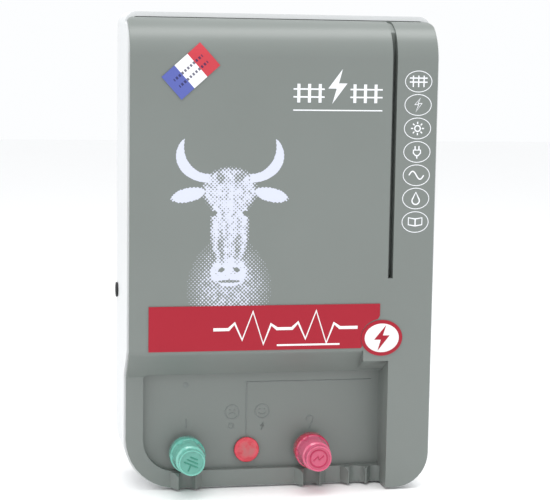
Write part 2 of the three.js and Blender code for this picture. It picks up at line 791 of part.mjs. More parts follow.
const bandOutline = polygon([
  [bandLeft, bandBottom], [roundelX - roundelHalfWidth, bandBottom], [bandRight, bandTop - bandCut],
  [bandRight, bandTop], [bandLeft, bandTop],
]);
const roundelOutline = new THREE.Shape();
roundelOutline.absellipse(roundelX, roundelUp, roundelHalfWidth, roundelHalfHeight, 0, Math.PI * 2);
const roundelClear = new THREE.Shape();
roundelClear.absellipse(roundelX, roundelUp, roundelHalfWidth + gap, roundelHalfHeight + gap,
  0, Math.PI * 2);
const roundel = onFace(roundelOutline);
addPiece("brand_band", onFace(bandOutline).subtract(prism(roundelClear, 0, beyond, 24)), labelRed);
addPiece("roundel_label", roundel, plainWhite);
const stickerOutline = polygon([[-1, -1], [1, -1], [1, 1], [-1, 1]].map(([end, side]) => {
  const corner = new THREE.Vector2(end * stickerLength / 2, side * stickerWidth / 2);
  corner.rotateAround(new THREE.Vector2(), stickerTilt);
  return [stickerX + corner.x, stickerUp + corner.y];
}));
addPiece("origin_sticker", onFace(stickerOutline), plainWhite);

// Circuit board.
const boardHoles = boardScrewPlaces.map(([x, up]) =>
  rodOut(boardScrewRadius + gap, x, up, boardBack - 1, boardFront + 1));
const board = block(boardLeft, boardLeft + boardWidth, boardBottom, boardBottom + boardHeight,
  boardBack, boardFront);
addPiece("circuit_board", board.subtract(joined(boardHoles)), boardGreen);
boardScrewPlaces.forEach(([x, up], index) => {
  const under = boardFront + gap;
  const screw = turned([
    [0, under - boardScrewLength], [boardScrewRadius, under - boardScrewLength + 1],
    [boardScrewRadius, under], [boardScrewHead, under],
    [boardScrewHead, under + boardScrewHeadHeight], [0, under + boardScrewHeadHeight],
  ], x, up, 12);
  addPiece(`board_screw_${index + 1}`, screw, steel);
});

// Storage capacitor on its side under a bent strap.
const canOut = onBoard + canRadius + gap;
const canLeft = canCentre[0] - canLength / 2;
const canSolid = rodAcross(canRadius, canLeft, canLeft + canLength, canCentre[1], canOut, 32);
addPiece("storage_capacitor", canSolid, { color: 0x3a4a63, roughness: 0.45, metalness: 0.1 });
const strapInner = canRadius + gap;
const strapOuter = strapInner + clipThick;
const strapLeft = canCentre[0] - clipWidth / 2;
const strapBlock = block(strapLeft, strapLeft + clipWidth, canCentre[1] - strapOuter,
  canCentre[1] + strapOuter, onBoard, canOut);
const strapFeet = block(strapLeft, strapLeft + clipWidth, canCentre[1] - strapOuter - clipFoot,
  canCentre[1] + strapOuter + clipFoot, onBoard, onBoard + clipThick);
const strapRoom = block(strapLeft - 1, strapLeft + clipWidth + 1, canCentre[1] - strapInner,
  canCentre[1] + strapInner, onBoard - strapOuter, canOut);
const strap = rodAcross(strapOuter, strapLeft, strapLeft + clipWidth, canCentre[1], canOut, 32)
  .add(strapBlock)
  .add(strapFeet)
  .subtract(strapRoom)
  .subtract(rodAcross(strapInner, strapLeft - 1, strapLeft + clipWidth + 1, canCentre[1], canOut, 32));
addPiece("capacitor_strap", strap, steel);

// Thyristor standing against its heat sink.
const sinkLeft = boardLeft + sinkFromLeft;
const sinkBottom = boardBottom + sinkFromBottom;
const sinkOuter = block(sinkLeft, sinkLeft + sinkWide, sinkBottom, sinkBottom + sinkDeep,
  onBoard, onBoard + sinkTall);
const sinkRoom = block(sinkLeft + sinkWall, sinkLeft + sinkWide - sinkWall, sinkBottom - 1,
  sinkBottom + sinkDeep - sinkWall, onBoard - 1, onBoard + sinkTall + 1);
addPiece("heat_sink", sinkOuter.subtract(sinkRoom), { color: 0x9ea2a6, roughness: 0.4, metalness: 0.9 });
const chipTop = sinkBottom + sinkDeep - sinkWall - gap;
const chipX = sinkLeft + sinkWide / 2;
const legTop = chipTop - thyristorThick / 2 + legThick / 2;
const chipLegs = [-legPitch, 0, legPitch].map((step) =>
  block(chipX + step - legWidth / 2, chipX + step + legWidth / 2, legTop - legThick, legTop,
    onBoard, onBoard + thyristorStand + 1));
const thyristorBody = block(chipX - thyristorWidth / 2, chipX + thyristorWidth / 2,
  chipTop - thyristorThick, chipTop, onBoard + thyristorStand,
  onBoard + thyristorStand + thyristorHeight);
addPiece("thyristor", thyristorBody.add(joined(chipLegs)), darkPlastic);

// Fuse in its two clips.
const fuseUp = boardBottom + fuseFromBottom;
const fuseLeft = boardLeft + fuseFromLeft;
const fuseRight = fuseLeft + fuseLength;
const fuseOut = onBoard + fuseStand;
const clipTop = fuseOut + clipAboveFuse;
const holderBase = block(fuseLeft - holderEnd, fuseRight + holderEnd, fuseUp - holderWidth / 2,
  fuseUp + holderWidth / 2, onBoard, onBoard + holderThick);
const clips = [fuseLeft + clipFromEnd, fuseRight - clipFromEnd - fuseClipLength].map((left) => {
  const right = left + fuseClipLength;
  return block(left, right, fuseUp - fuseClipWidth / 2, fuseUp + fuseClipWidth / 2,
    onBoard + holderThick / 2, clipTop)
    .subtract(rodAcross(fuseRadius + threadClearance, left - 1, right + 1, fuseUp, fuseOut, 24))
    .subtract(block(left - 1, right + 1, fuseUp - clipMouth / 2, fuseUp + clipMouth / 2,
      fuseOut, clipTop + 1));
});
addPiece("fuse_holder", holderBase.add(joined(clips)), nylon);
const fuseSolid = rodAcross(fuseRadius, fuseLeft, fuseLeft + fuseLength, fuseUp, fuseOut, 24);
addPiece("fuse", fuseSolid, glass);

// Blocks on the board: left, bottom, width, height and how far they stand out.
const film = { color: 0xb9832e, roughness: 0.4, metalness: 0 };
const boardBlocks = [
  ["terminal_block", 6, 34, 12, 20, 13, darkPlastic],
  ["charging_capacitor_1", 42, 8, 8, 18, 15, film],
  ["charging_capacitor_2", 54, 8, 8, 18, 15, film],
  ["dropper_resistor", 40, 32, 28, 7, 7, ceramic],
  ["control_chip", 78, 34, 10, 6.5, 3.6, darkPlastic],
];
for (const [name, left, bottom, width, height, stand, finish] of boardBlocks) {
  addPiece(name, block(boardLeft + left, boardLeft + left + width, boardBottom + bottom,
    boardBottom + bottom + height, onBoard, onBoard + stand), finish);
}

// Pulse transformer: laminated core with two windows, bobbin on the middle limb, coil on the bobbin.
const [coreX, coreUp] = coreCentre;
const coreFront = coreBack + coreStack;
const coreMiddle = (coreBack + coreFront) / 2;
const windowWidth = (coreWidth - 2 * coreLimb) / 2;
const windowHeight = coreHeight - coreLimb;
const core = block(coreX - coreWidth / 2, coreX + coreWidth / 2, coreUp - coreHeight / 2,
  coreUp + coreHeight / 2, coreBack, coreFront);
const windows = [-1, 1].map((side) => {
  const middle = coreX + side * (coreLimb + windowWidth) / 2;
  return block(middle - windowWidth / 2, middle + windowWidth / 2, coreUp - windowHeight / 2,
    coreUp + windowHeight / 2, coreBack - 1, coreFront + 1);
});
const coreHoles = coreScrewPlaces.map(([x, up]) =>
  rodOut(coreScrewRadius + gap, x, up, coreBack - 1, coreFront + 1));
addPiece("transformer_core", core.subtract(joined(windows)).subtract(joined(coreHoles)), laminate);

// A rounded frame around the middle limb, by its distance from the limb inside and outside.
function limbFrame(inside, outside, bottom, top) {
  const outlineAt = (reach, radius) => {
    const corners = [radius, radius, radius, radius];
    return roundedOutline(coreMiddle - coreStack / 2 - reach, coreMiddle + coreStack / 2 + reach,
      coreX - coreLimb / 2 - reach, coreX + coreLimb / 2 + reach, corners);
  };
  const whole = prismUp(outlineAt(outside, outside * 0.6 + 0.5), bottom, top, 4);
  return whole.subtract(prismUp(outlineAt(inside, 0.5), bottom - 1, top + 1, 2));
}
const bobbinTop = coreUp + windowHeight / 2 - gap;
const bobbinBottom = coreUp - windowHeight / 2 + gap;
const coilInside = gap + bobbinWall + gap;
const bobbinReach = windowWidth - gap;
const bobbin = limbFrame(gap, gap + bobbinWall, bobbinBottom, bobbinTop)
  .add(limbFrame(gap, bobbinReach, bobbinBottom, bobbinBottom + bobbinWall))
  .add(limbFrame(gap, bobbinReach, bobbinTop - bobbinWall, bobbinTop));
addPiece("transformer_bobbin", bobbin, nylon);
const coil = limbFrame(coilInside, coilInside + coilBuild, bobbinBottom + bobbinWall + gap,
  bobbinTop - bobbinWall - gap);
addPiece("transformer_coil", coil, copper);
coreScrewPlaces.forEach(([x, up], index) => {
  const under = coreFront + gap;
  const screw = turned([
    [0, coreBack - coreScrewBite], [coreScrewRadius, coreBack - coreScrewBite + 1],
    [coreScrewRadius, under], [coreScrewHead, under],
    [coreScrewHead, under + coreScrewHeadHeight], [0, under + coreScrewHeadHeight],
  ], x, up, 12);
  addPiece(`transformer_screw_${index + 1}`, screw, steel);
});

// Wires held inside the case.
const lugOut = lugFront - lugBarrelRadius;
const coilFront = coreMiddle + coreStack / 2 + coilInside + coilBuild / 2;
const leadTop = bobbinBottom - gap;
addPiece("earth_lead", wire([
  [coreX - 6, leadTop - 1, coilFront], [coreX - 6, leadTop - 6, coilFront],
  [coreX - 10, leadTop - 22, lugOut + 3], [earthX + 6, leadTop - 42, lugOut - 3],
  [earthX, lugTop + 12, lugOut], [earthX, lugTop + gap, lugOut],
], earthLeadRadius), { color: 0x5fa83c, roughness: 0.5, metalness: 0 });
addPiece("fence_lead", wire([
  [coreX + 6, leadTop - 1, coilFront], [coreX + 6, leadTop - 6, coilFront],
  [coreX + 20, leadTop - 22, lugOut + 3], [fenceX - 8, leadTop - 42, lugOut - 3],
  [fenceX, lugTop + 12, lugOut], [fenceX, lugTop + gap, lugOut],
], fenceLeadRadius), { color: 0xb8283a, roughness: 0.5, metalness: 0 });
const leadBoard = boardBottom + 4;
addPiece("primary_lead", wire([
  [coreX, leadBoard, onBoard + 1.6], [coreX, leadBoard - 1, onBoard + 12],
  [coreX + 1, bobbinTop + 18, coilFront - 6], [coreX + 1, bobbinTop + 8, coilFront],
  [coreX, bobbinTop + gap, coilFront],
], primaryLeadRadius), { color: 0xd8d4c8, roughness: 0.5, metalness: 0 });
const lampBack = bulbFront - bulbLength - gap;
const besideCore = coreX + coreWidth / 2;
addPiece("lamp_lead", wire([
  [besideCore + 16, leadBoard, onBoard + 1.4], [besideCore + 16, leadBoard - 6, onBoard + 8],
  [besideCore + 14, coreUp + 9, onBoard + 8], [besideCore + 13, coreUp - 41, onBoard + 8],
  [besideCore + 2, bayTop - 21, onBoard + 6], [lampX + 3, terminalUp + 8, onBoard + 6],
  [lampX, terminalUp, lampBack - 8], [lampX, terminalUp, lampBack],
], lampLeadRadius, 28), { color: 0xdedede, roughness: 0.5, metalness: 0 });

energizer.rotation.x = Math.PI / 2;

export default energizer;
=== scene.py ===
# A wall-hung fence energizer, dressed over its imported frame. Metres, +Z up, front towards -Y.
import bmesh
import bpy
import math
from mathutils import Matrix, Vector
from mathutils.bvhtree import BVHTree


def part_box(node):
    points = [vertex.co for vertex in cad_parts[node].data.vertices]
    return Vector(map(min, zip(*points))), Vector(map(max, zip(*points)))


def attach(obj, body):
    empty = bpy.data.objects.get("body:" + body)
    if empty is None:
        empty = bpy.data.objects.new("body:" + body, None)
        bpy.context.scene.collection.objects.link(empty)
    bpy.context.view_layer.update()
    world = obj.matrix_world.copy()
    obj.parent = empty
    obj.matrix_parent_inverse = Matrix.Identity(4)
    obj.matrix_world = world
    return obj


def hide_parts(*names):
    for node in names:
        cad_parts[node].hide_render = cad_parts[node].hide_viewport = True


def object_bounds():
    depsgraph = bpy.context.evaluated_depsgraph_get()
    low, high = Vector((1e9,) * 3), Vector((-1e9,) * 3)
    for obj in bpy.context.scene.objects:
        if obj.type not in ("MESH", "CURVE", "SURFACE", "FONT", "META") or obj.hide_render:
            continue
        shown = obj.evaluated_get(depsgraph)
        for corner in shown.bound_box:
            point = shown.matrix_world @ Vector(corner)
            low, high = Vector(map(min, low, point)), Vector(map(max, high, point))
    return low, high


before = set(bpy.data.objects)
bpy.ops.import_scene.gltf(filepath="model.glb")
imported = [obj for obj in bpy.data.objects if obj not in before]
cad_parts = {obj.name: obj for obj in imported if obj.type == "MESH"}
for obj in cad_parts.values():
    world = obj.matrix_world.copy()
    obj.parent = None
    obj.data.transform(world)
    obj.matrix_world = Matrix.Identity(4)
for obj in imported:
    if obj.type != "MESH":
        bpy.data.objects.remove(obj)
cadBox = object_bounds()
mm = 0.001
print("frame loaded,", len(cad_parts), "nodes")


# Shader maths.

def tint(red, green, blue):
    def linear(value):
        share = value / 255
        return share / 12.92 if share <= 0.04045 else ((share + 0.055) / 1.055) ** 2.4
    return (linear(red), linear(green), linear(blue), 1)


class Signal:
    def __init__(self, finish, socket):
        self.finish = finish
        self.socket = socket

    def work(self, operation, *values):
        return self.finish.add("ShaderNodeMath", {"operation": operation}, dict(enumerate(values)))

    def __add__(self, other):
        return self.work("ADD", self, other)

    def __radd__(self, other):
        return self.work("ADD", other, self)

    def __sub__(self, other):
        return self.work("SUBTRACT", self, other)

    def __rsub__(self, other):
        return self.work("SUBTRACT", other, self)

    def __mul__(self, other):
        return self.work("MULTIPLY", self, other)

    def __rmul__(self, other):
        return self.work("MULTIPLY", other, self)

    def __truediv__(self, other):
        return self.work("DIVIDE", self, other)

    def __gt__(self, other):
        return self.work("GREATER_THAN", self, other)

    def __lt__(self, other):
        return self.work("LESS_THAN", self, other)

    def __abs__(self):
        return self.work("ABSOLUTE", self)

    def most(self, other):
        return self.work("MAXIMUM", self, other)

    def wave(self):
        return self.work("COSINE", self)


class Finish:
    def __init__(self, name, settings):
        self.material = bpy.data.materials.new(name)
        self.material.use_nodes = True
        self.tree = self.material.node_tree
        self.shader = self.tree.nodes["Principled BSDF"]
        self.known = {}
        for label, value in settings.items():
            self.shader.inputs[label].default_value = value

    def add(self, kind, settings=None, inputs=None, output=0):
        node = self.tree.nodes.new(kind)
        for label, value in (settings or {}).items():
            if label == "stops":
                for spot, (position, colour) in enumerate(value):
                    ramp = node.color_ramp.elements
                    stop = ramp[spot] if spot < 2 else ramp.new(position)
                    stop.position = position
                    stop.color = colour
            else:
                setattr(node, label, value)
        for label, value in (inputs or {}).items():
            self.feed(node.inputs[label], value)
        return Signal(self, node.outputs[output])

    def feed(self, socket, value):
        if isinstance(value, Signal):
            self.tree.links.new(value.socket, socket)
        else:
            socket.default_value = value

    def spot(self):
        if "spot" not in self.known:
            self.known["spot"] = self.add("ShaderNodeTexCoord", output="Object")
        return self.known["spot"]

    def along(self, axis):
        if axis not in self.known:
            self.known[axis] = self.add("ShaderNodeSeparateXYZ", None, {0: self.spot()}, axis)
        return self.known[axis]

    def noise(self, size, detail=2, stretch=(1, 1, 1)):
        place = self.add("ShaderNodeMapping", None, {"Vector": self.spot(), "Scale": stretch})
        return self.add("ShaderNodeTexNoise", None, {"Vector": place, "Scale": 1 / size, "Detail": detail})

    def cells(self, size, feature="F1"):
        return self.add("ShaderNodeTexVoronoi", {"feature": feature},
                        {"Vector": self.spot(), "Scale": 1 / size})

    def ease(self, value, low, high):
        return self.add("ShaderNodeMapRange", {"interpolation_type": "SMOOTHSTEP"},
                        {"Value": value, "From Min": low, "From Max": high})

    def mix(self, mask, first, second):
        return self.add("ShaderNodeMix", {"data_type": "RGBA"}, {0: mask, 6: first, 7: second}, 2)

    # A soft-edged ellipse in the x-z plane.
    def oval(self, centre, size, turn=0, soft=0.15, at=None):
        place = self.add("ShaderNodeMapping", {"vector_type": "TEXTURE"}, {
            "Vector": at or self.spot(), "Location": (centre[0], 0, centre[1]),
            "Rotation": (0, math.radians(turn), 0), "Scale": (size[0], 1000, size[1])})
        reach = self.add("ShaderNodeVectorMath", {"operation": "LENGTH"}, {0: place}, "Value")
        return self.ease(reach, 1 + soft, 1 - soft)

    def colour(self, value):
        self.feed(self.shader.inputs["Base Color"], value)

    def rough(self, value):
        self.feed(self.shader.inputs["Roughness"], value)

    def relief(self, height, depth, strength=1.0):
        bump = self.add("ShaderNodeBump", None, {"Height": height, "Distance": depth, "Strength": strength})
        self.feed(self.shader.inputs["Normal"], bump)


# Finishes.

def mouldedPlastic(name, colour, roughness, grain=0.5 * mm, depth=0.012 * mm, extra=None):
    look = Finish(name, {"Specular IOR Level": 0.5, **(extra or {})})
    broad = look.noise(70 * mm, 3)
    fine = look.noise(grain, 3)
    dark = tuple(channel * 0.93 for channel in colour[:3]) + (1,)
    light = tuple(min(1, channel * 1.06) for channel in colour[:3]) + (1,)
    look.colour(look.mix(broad * 0.6 + fine * 0.4, dark, light))
    look.rough((broad - 0.5) * 0.08 + (fine - 0.5) * 0.12 + roughness)
    look.relief(fine, depth)
    return look


brushGrain = 0.35 * mm


def brushedMetal(name, colour, roughness, stretch=(1, 1, 1)):
    look = Finish(name, {"Metallic": 1.0})
    lines = look.noise(brushGrain, 3, stretch)
    cloud = look.noise(6 * mm, 3)
    dark = tuple(channel * 0.8 for channel in colour[:3]) + (1,)
    look.colour(look.mix(lines * 0.5 + cloud * 0.5, dark, colour))
    look.rough((cloud - 0.5) * 0.25 + (lines - 0.5) * 0.15 + roughness)
    look.relief(lines, 0.01 * mm)
    return look


# The printed head on the face: soft ovals for light and shade, turned into a screen of dots.
# Each oval is its middle x and z, half width, half height, turn, softness and strength, in mm.
headPrint = {
    "middle": -36 * mm,
    "dot": 1.75 * mm,
    "fur": 2.6 * mm,
    "lights": [
        (0, 44, 17, 14, 0, 0.15, 0.8), (0, 20, 12, 30, 0, 0.15, 0.8), (8, 22, 3.4, 15, 5, 0.4, 1.0),
        (0, -9, 12.5, 9.5, 0, 0.12, 1.2), (0, 34, 3.4, 11, 0, 0.5, 1.1), (0, -20, 21, 26, 0, 0.5, 0.5),
    ],
    "shades": [
        (11, 29, 2.8, 1.9, 12, 0.3, 1.0), (5, -7.5, 2.3, 1.5, 25, 0.3, 1.0),
        (0, -15, 8, 0.9, 0, 0.3, 0.9), (5.5, 8, 2, 13, 4, 0.6, 0.5), (6, 52, 3, 4, 15, 0.6, 0.6),
    ],
    "ears": [(27, 41, 11, 4.4, 12, 0.12, 1.1)],
    "hornOuter": (14, 66, 21, 17, 0, 0.01, 1.3),
    "hornInner": (14, 72, 16, 17.5, 0, 0.02, 1.0),
    "hornRoot": 15 * mm,
    "hornTip": 77 * mm,
}


# A front view of a cow's head, the same on both sides, printed in dots.
def printedHead(look):
    side = abs(look.along("X") - headPrint["middle"])
    mirrored = look.add("ShaderNodeCombineXYZ", None, {0: side, 2: look.along("Z")})

    def spotOf(entry):
        x, z, wide, high, turn, soft, strength = entry
        return look.oval((x * mm, z * mm), (wide * mm, high * mm), turn, soft, mirrored) * strength

    tone = spotOf(headPrint["lights"][0])
    for entry in headPrint["lights"][1:]:
        tone = tone.most(spotOf(entry))
    fur = look.noise(headPrint["fur"], 3, (1, 1, 0.7))
    tone = tone * (look.ease(fur, 0.3, 0.7) * 0.75 + 0.6)
    for entry in headPrint["shades"]:
        tone = tone * (1 - spotOf(entry))
    horns = spotOf(headPrint["hornOuter"]) * (1 - spotOf(headPrint["hornInner"]))
    root, tip = headPrint["hornRoot"], headPrint["hornTip"]
    horns = horns * look.ease(side, root - 4.5 * mm, root) * look.ease(look.along("Z"), tip, tip - 1.5 * mm)
    for part in [horns] + [spotOf(entry) for entry in headPrint["ears"]]:
        tone = tone.most(part)
    turnRate = math.tau / (headPrint["dot"] * math.sqrt(2))
    rising = ((look.along("X") + look.along("Z")) * turnRate).wave()
    falling = ((look.along("X") - look.along("Z")) * turnRate).wave()
    screen = (rising + falling) * 0.25 + 0.5
    return look.ease(tone - screen, -0.06, 0.06) * (tone > 0.05)


def coverFinish():
    look = Finish("coverGrey", {"Specular IOR Level": 0.5, "Coat Weight": 0.12, "Coat Roughness": 0.25})
    broad = look.noise(90 * mm, 3)
    fine = look.noise(0.45 * mm, 3)
    plastic = look.mix(broad * 0.7 + fine * 0.3, tint(110, 116, 112), tint(120, 126, 123))
    face = look.ease(look.along("Y"), coverFaceY + 0.3 * mm, coverFaceY + 0.1 * mm)
    above = look.ease(look.along("Z"), bandTopZ - 0.4 * mm, bandTopZ)
    ink = printedHead(look) * face * above
    look.colour(look.mix(ink * 0.95, plastic, tint(208, 212, 228)))
    look.rough((broad - 0.5) * 0.08 + (fine - 0.5) * 0.12 + 0.38 + ink * 0.12)
    look.relief(fine + ink * 0.25, 0.012 * mm)
    return look


coverLow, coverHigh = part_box("front_cover")
coverFaceY = coverLow.y
bandLow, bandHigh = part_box("brand_band")
bandTopZ = bandHigh.z

coverGrey = coverFinish()
markGrey = mouldedPlastic("markGrey", tint(116, 122, 120), 0.42)
shellWhite = mouldedPlastic("shellWhite", tint(216, 218, 219), 0.42, 0.6 * mm)
rubberBlack = mouldedPlastic("rubberBlack", tint(38, 38, 40), 0.7, 0.3 * mm, 0.03 * mm)
print("finishes for the case made")


# Making pieces.

making = {
    "sharpAngle": math.radians(35),         # a crease past this is drawn as an edge
    "roundedAngle": math.radians(30),       # an edge past this is rounded
    "flatAngle": math.radians(0.6),         # faces within this are one flat face
    "copyMerge": 0.002 * mm,
    "turnMerge": 0.004 * mm,
    "rimReach": 0.01 * mm,
}


def showPiece(mesh, name, body, look, stands=()):
    piece = bpy.data.objects.new(name, mesh)
    bpy.context.scene.collection.objects.link(piece)
    mesh.materials.clear()
    mesh.materials.append(look.material)
    mesh.shade_smooth()
    mesh.set_sharp_from_angle(angle=making["sharpAngle"])
    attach(piece, body)
    if stands:
        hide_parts(*stands)
    return piece


def meshFrom(bm, name):
    mesh = bpy.data.meshes.new(name)
    bm.to_mesh(mesh)
    bm.free()
    return mesh


# Flat faces stay flat in the light, however their edges are rounded.
def evenShade(piece):
    weights = piece.modifiers.new("weights", "WEIGHTED_NORMAL")
    weights.keep_sharp = True
    split = piece.modifiers.new("split", "TRIANGULATE")
    split.keep_custom_normals = True


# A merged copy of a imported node, with its flat faces made whole.
def copyOf(node):
    bm = bmesh.new()
    bm.from_mesh(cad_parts[node].data)
    bmesh.ops.remove_doubles(bm, verts=bm.verts, dist=making["copyMerge"])
    bmesh.ops.dissolve_limit(bm, angle_limit=making["flatAngle"], verts=bm.verts, edges=bm.edges)
    return bm


# Rounds edges, one width after another, the widest first.
def roundedBy(bm, name, widthOf, widths, steps=4):
    for width in sorted(set(widths), reverse=True):
        bm.normal_update()
        chosen = [edge for edge in bm.edges if len(edge.link_faces) == 2 and
                  edge.calc_face_angle(0) > making["roundedAngle"] and widthOf(edge) == width]
        bmesh.ops.bevel(bm, geom=chosen, offset=width, segments=steps, profile=0.5, affect="EDGES",
                        material=-1, clamp_overlap=True)
    return meshFrom(bm, name)


def middleOf(edge):
    return (edge.verts[0].co + edge.verts[1].co) / 2


# A shape turned on an axis along y: pairs of radius and distance out of the wall.
def turned(profile, x, z, steps=64, closed=False):
    bm = bmesh.new()
    line = [bm.verts.new((x + reach, -out, z)) for reach, out in profile]
    edges = [bm.edges.new(pair) for pair in zip(line, line[1:])]
    if closed:
        edges.append(bm.edges.new((line[-1], line[0])))
    bmesh.ops.spin(bm, geom=line + edges, cent=(x, 0, z), axis=(0, 1, 0), angle=math.tau,
                   steps=steps, use_merge=True)
    bmesh.ops.remove_doubles(bm, verts=bm.verts, dist=making["turnMerge"])
    bmesh.ops.recalc_face_normals(bm, faces=bm.faces)
    return bm


# A thin plate in the x-z plane between two depths.
def plate(outline, back, front, rounding=0):
    bm = bmesh.new()
    ring = [bm.verts.new((x, -back, z)) for x, z in outline]
    face = bm.faces.new(ring)
    grown = bmesh.ops.extrude_face_region(bm, geom=[face])
    raised = [item for item in grown["geom"] if isinstance(item, bmesh.types.BMVert)]
    bmesh.ops.translate(bm, verts=raised, vec=(0, back - front, 0))
    bmesh.ops.recalc_face_normals(bm, faces=bm.faces)
    if rounding:
        rims = [edge for edge in bm.edges
                if all(abs(vert.co.y + front) < making["rimReach"] for vert in edge.verts)]
        bmesh.ops.bevel(bm, geom=rims, offset=rounding, segments=2, profile=0.5, affect="EDGES",
                        material=-1, clamp_overlap=True)
    return bm


def ovalOutline(x, z, wide, high, steps=64):
    return [(x + wide * math.cos(math.tau * step / steps), z + high * math.sin(math.tau * step / steps))
            for step in range(steps)]


# Lines of ink or of raised plastic: each is a list of x-z points, swept round and pressed flat.
def strokes(lines, name, depth, radius, flat):
    curve = bpy.data.curves.new(name, "CURVE")
    curve.dimensions = "3D"
    curve.bevel_depth = radius
    curve.bevel_resolution = 2
    curve.use_fill_caps = True
    for points, closed in lines:
        spline = curve.splines.new("POLY")
        spline.points.add(len(points) - 1)
        for point, (x, z) in zip(spline.points, points):
            point.co = (x, 0, z, 1)
        spline.use_cyclic_u = closed
    holder = bpy.data.objects.new(name, curve)
    bpy.context.scene.collection.objects.link(holder)
    mesh = bpy.data.meshes.new_from_object(holder.evaluated_get(bpy.context.evaluated_depsgraph_get()))
    bpy.data.objects.remove(holder)
    mesh.transform(Matrix.Translation((0, -depth, 0)) @ Matrix.Diagonal((1, flat, 1, 1)))
    return mesh


def moved(points, x, z, size=1, turn=0):
    cosine, sine = math.cos(math.radians(turn)), math.sin(math.radians(turn))
    return [(x + size * (px * cosine - pz * sine), z + size * (px * sine + pz * cosine))
            for px, pz in points]


def joinedMesh(parts, name):
    bm = bmesh.new()
    for part in parts:
        bm.from_mesh(part)
    return meshFrom(bm, name)


# Front cover.

cover = {
    "stripWidth": 28.8 * mm,
    "rimStepBack": 18 * mm,         # how far the lower rim lies behind the face
    "rimRounding": 1.4 * mm,
    "cornerRounding": 0.4 * mm,
    "cornerReach": 9 * mm,          # the last stretch of the crown, by its small corners
    "crestRounding": 2.2 * mm,
    "footRounding": 0.6 * mm,
    "bayRounding": 0.7 * mm,
    "sillRounding": 0.2 * mm,
    "grooveRounding": 0.35 * mm,
    "guideRounding": 0.16 * mm,
    "grooveWidth": 3.2 * mm,
    "grooveFromStrip": 1.7 * mm,
}
stripLeftX = coverHigh.x - cover["stripWidth"]
rimY = coverFaceY + cover["rimStepBack"]
seatLow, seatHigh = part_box("earth_seat_nut")
bayFloorY = seatHigh.y + 0.3 * mm
grooveMiddleX = stripLeftX + cover["grooveFromStrip"] - cover["grooveWidth"] / 2
bayBottomZ = coverLow.z + 11.2 * mm
rampMiddleZ = bandLow.z - 10 * mm
crownEndZ = coverHigh.z - cover["cornerReach"]
terminalZ = (seatLow.z + seatHigh.z) / 2
terminalXs = [sum(corner.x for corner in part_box(node)) / 2
              for node in ("earth_seat_nut", "fence_seat_nut", "lamp_lens")]


def coverMesh():
    bm = copyOf("front_cover")
    bm.normal_update()
    tree = BVHTree.FromBMesh(bm)

    def seenFromFront(point):
        for stepX in (-0.35 * mm, 0.35 * mm):
            for stepZ in (-0.35 * mm, 0.35 * mm):
                hit = tree.ray_cast(Vector((point.x + stepX, -0.2, point.z + stepZ)), Vector((0, 1, 0)))
                if hit[0] is not None and abs(hit[0].y - point.y) < 0.5 * mm:
                    return True
        return False

    def outerWall(face):
        across = face.normal.x * face.calc_center_median().x + face.normal.z * face.calc_center_median().z
        return abs(face.normal.y) < 0.1 and across > 90 * mm

    def widthOf(edge):
        middle = middleOf(edge)
        walls = [outerWall(face) for face in edge.link_faces]
        if not seenFromFront(middle) and not any(walls):
            return 0
        inGuides = middle.z < bayBottomZ and middle.x < stripLeftX + 1 * mm and middle.y > rimY - 8 * mm
        if inGuides and (edge.calc_length() < 13 * mm or middle.y < rimY - 1 * mm):
            return cover["guideRounding"]
        if abs(middle.x - grooveMiddleX) < cover["grooveWidth"] and middle.z > -20 * mm:
            return cover["grooveRounding"]
        steep = edge.calc_face_angle(0) > math.radians(60)
        if any(walls):
            back = max(face.normal.y for face in edge.link_faces) > 0.5
            if back or all(walls) and not steep:
                return 0
            return cover["cornerRounding"] if middle.z > crownEndZ else cover["rimRounding"]
        if middle.z < bayBottomZ + 1 * mm:
            return cover["sillRounding"]
        if any((middle.x - x) ** 2 + (middle.z - terminalZ) ** 2 < (12 * mm) ** 2 for x in terminalXs):
            return 0
        if steep:
            return cover["bayRounding"]
        return cover["crestRounding"] if middle.z > rampMiddleZ else cover["footRounding"]

    widths = [cover[key] for key in cover if key.endswith("Rounding")]
    return roundedBy(bm, "front_cover_shell", widthOf, widths)


frontCover = showPiece(coverMesh(), "front_cover_shell", "case", coverGrey, ["front_cover"])
evenShade(frontCover)
print("front cover", len(frontCover.data.polygons), "faces")

# Rear housing: the same solid with its handled edges eased.
housing = {"backRounding": 0.9 * mm, "holeRounding": 0.35 * mm, "backReach": 1 * mm, "edgeReach": 6 * mm}


def housingMesh():
    bm = copyOf("rear_housing")
    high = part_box("rear_housing")[1]

    def widthOf(edge):
        middle = middleOf(edge)
        if middle.y < -housing["backReach"]:
            return 0
        nearEdge = (high.x - abs(middle.x) < housing["edgeReach"] or
                    high.z - abs(middle.z) < housing["edgeReach"])
        return housing["backRounding"] if nearEdge else housing["holeRounding"]

    return roundedBy(bm, "rear_housing_shell", widthOf, [housing["backRounding"], housing["holeRounding"]], 3)


rearHousing = showPiece(housingMesh(), "rear_housing_shell", "case", shellWhite,
                        ["rear_housing"])
evenShade(rearHousing)
print("rear housing", len(rearHousing.data.polygons), "faces")

# Printing on the face. Ink stands a hair proud of the plastic.
ink = {
    "line": 0.24 * mm,
    "picture": 0.42 * mm,
    "wire": 0.5 * mm,
    "post": 1.0 * mm,
    "rule": 0.4 * mm,
    "under": 0.6 * mm,
    "flat": 0.25,
    "lift": 0.02 * mm,
}
inkWhite = mouldedPlastic("inkWhite", tint(232, 234, 238), 0.45, 0.4 * mm, 0.004 * mm)

stripMarks = {
    "x": 87.5 * mm,
    "places": [114.8, 99.6, 84.3, 69.0, 53.7, 38.4, 22.9],
    "wide": 8.9 * mm,
    "high": 6.8 * mm,
}


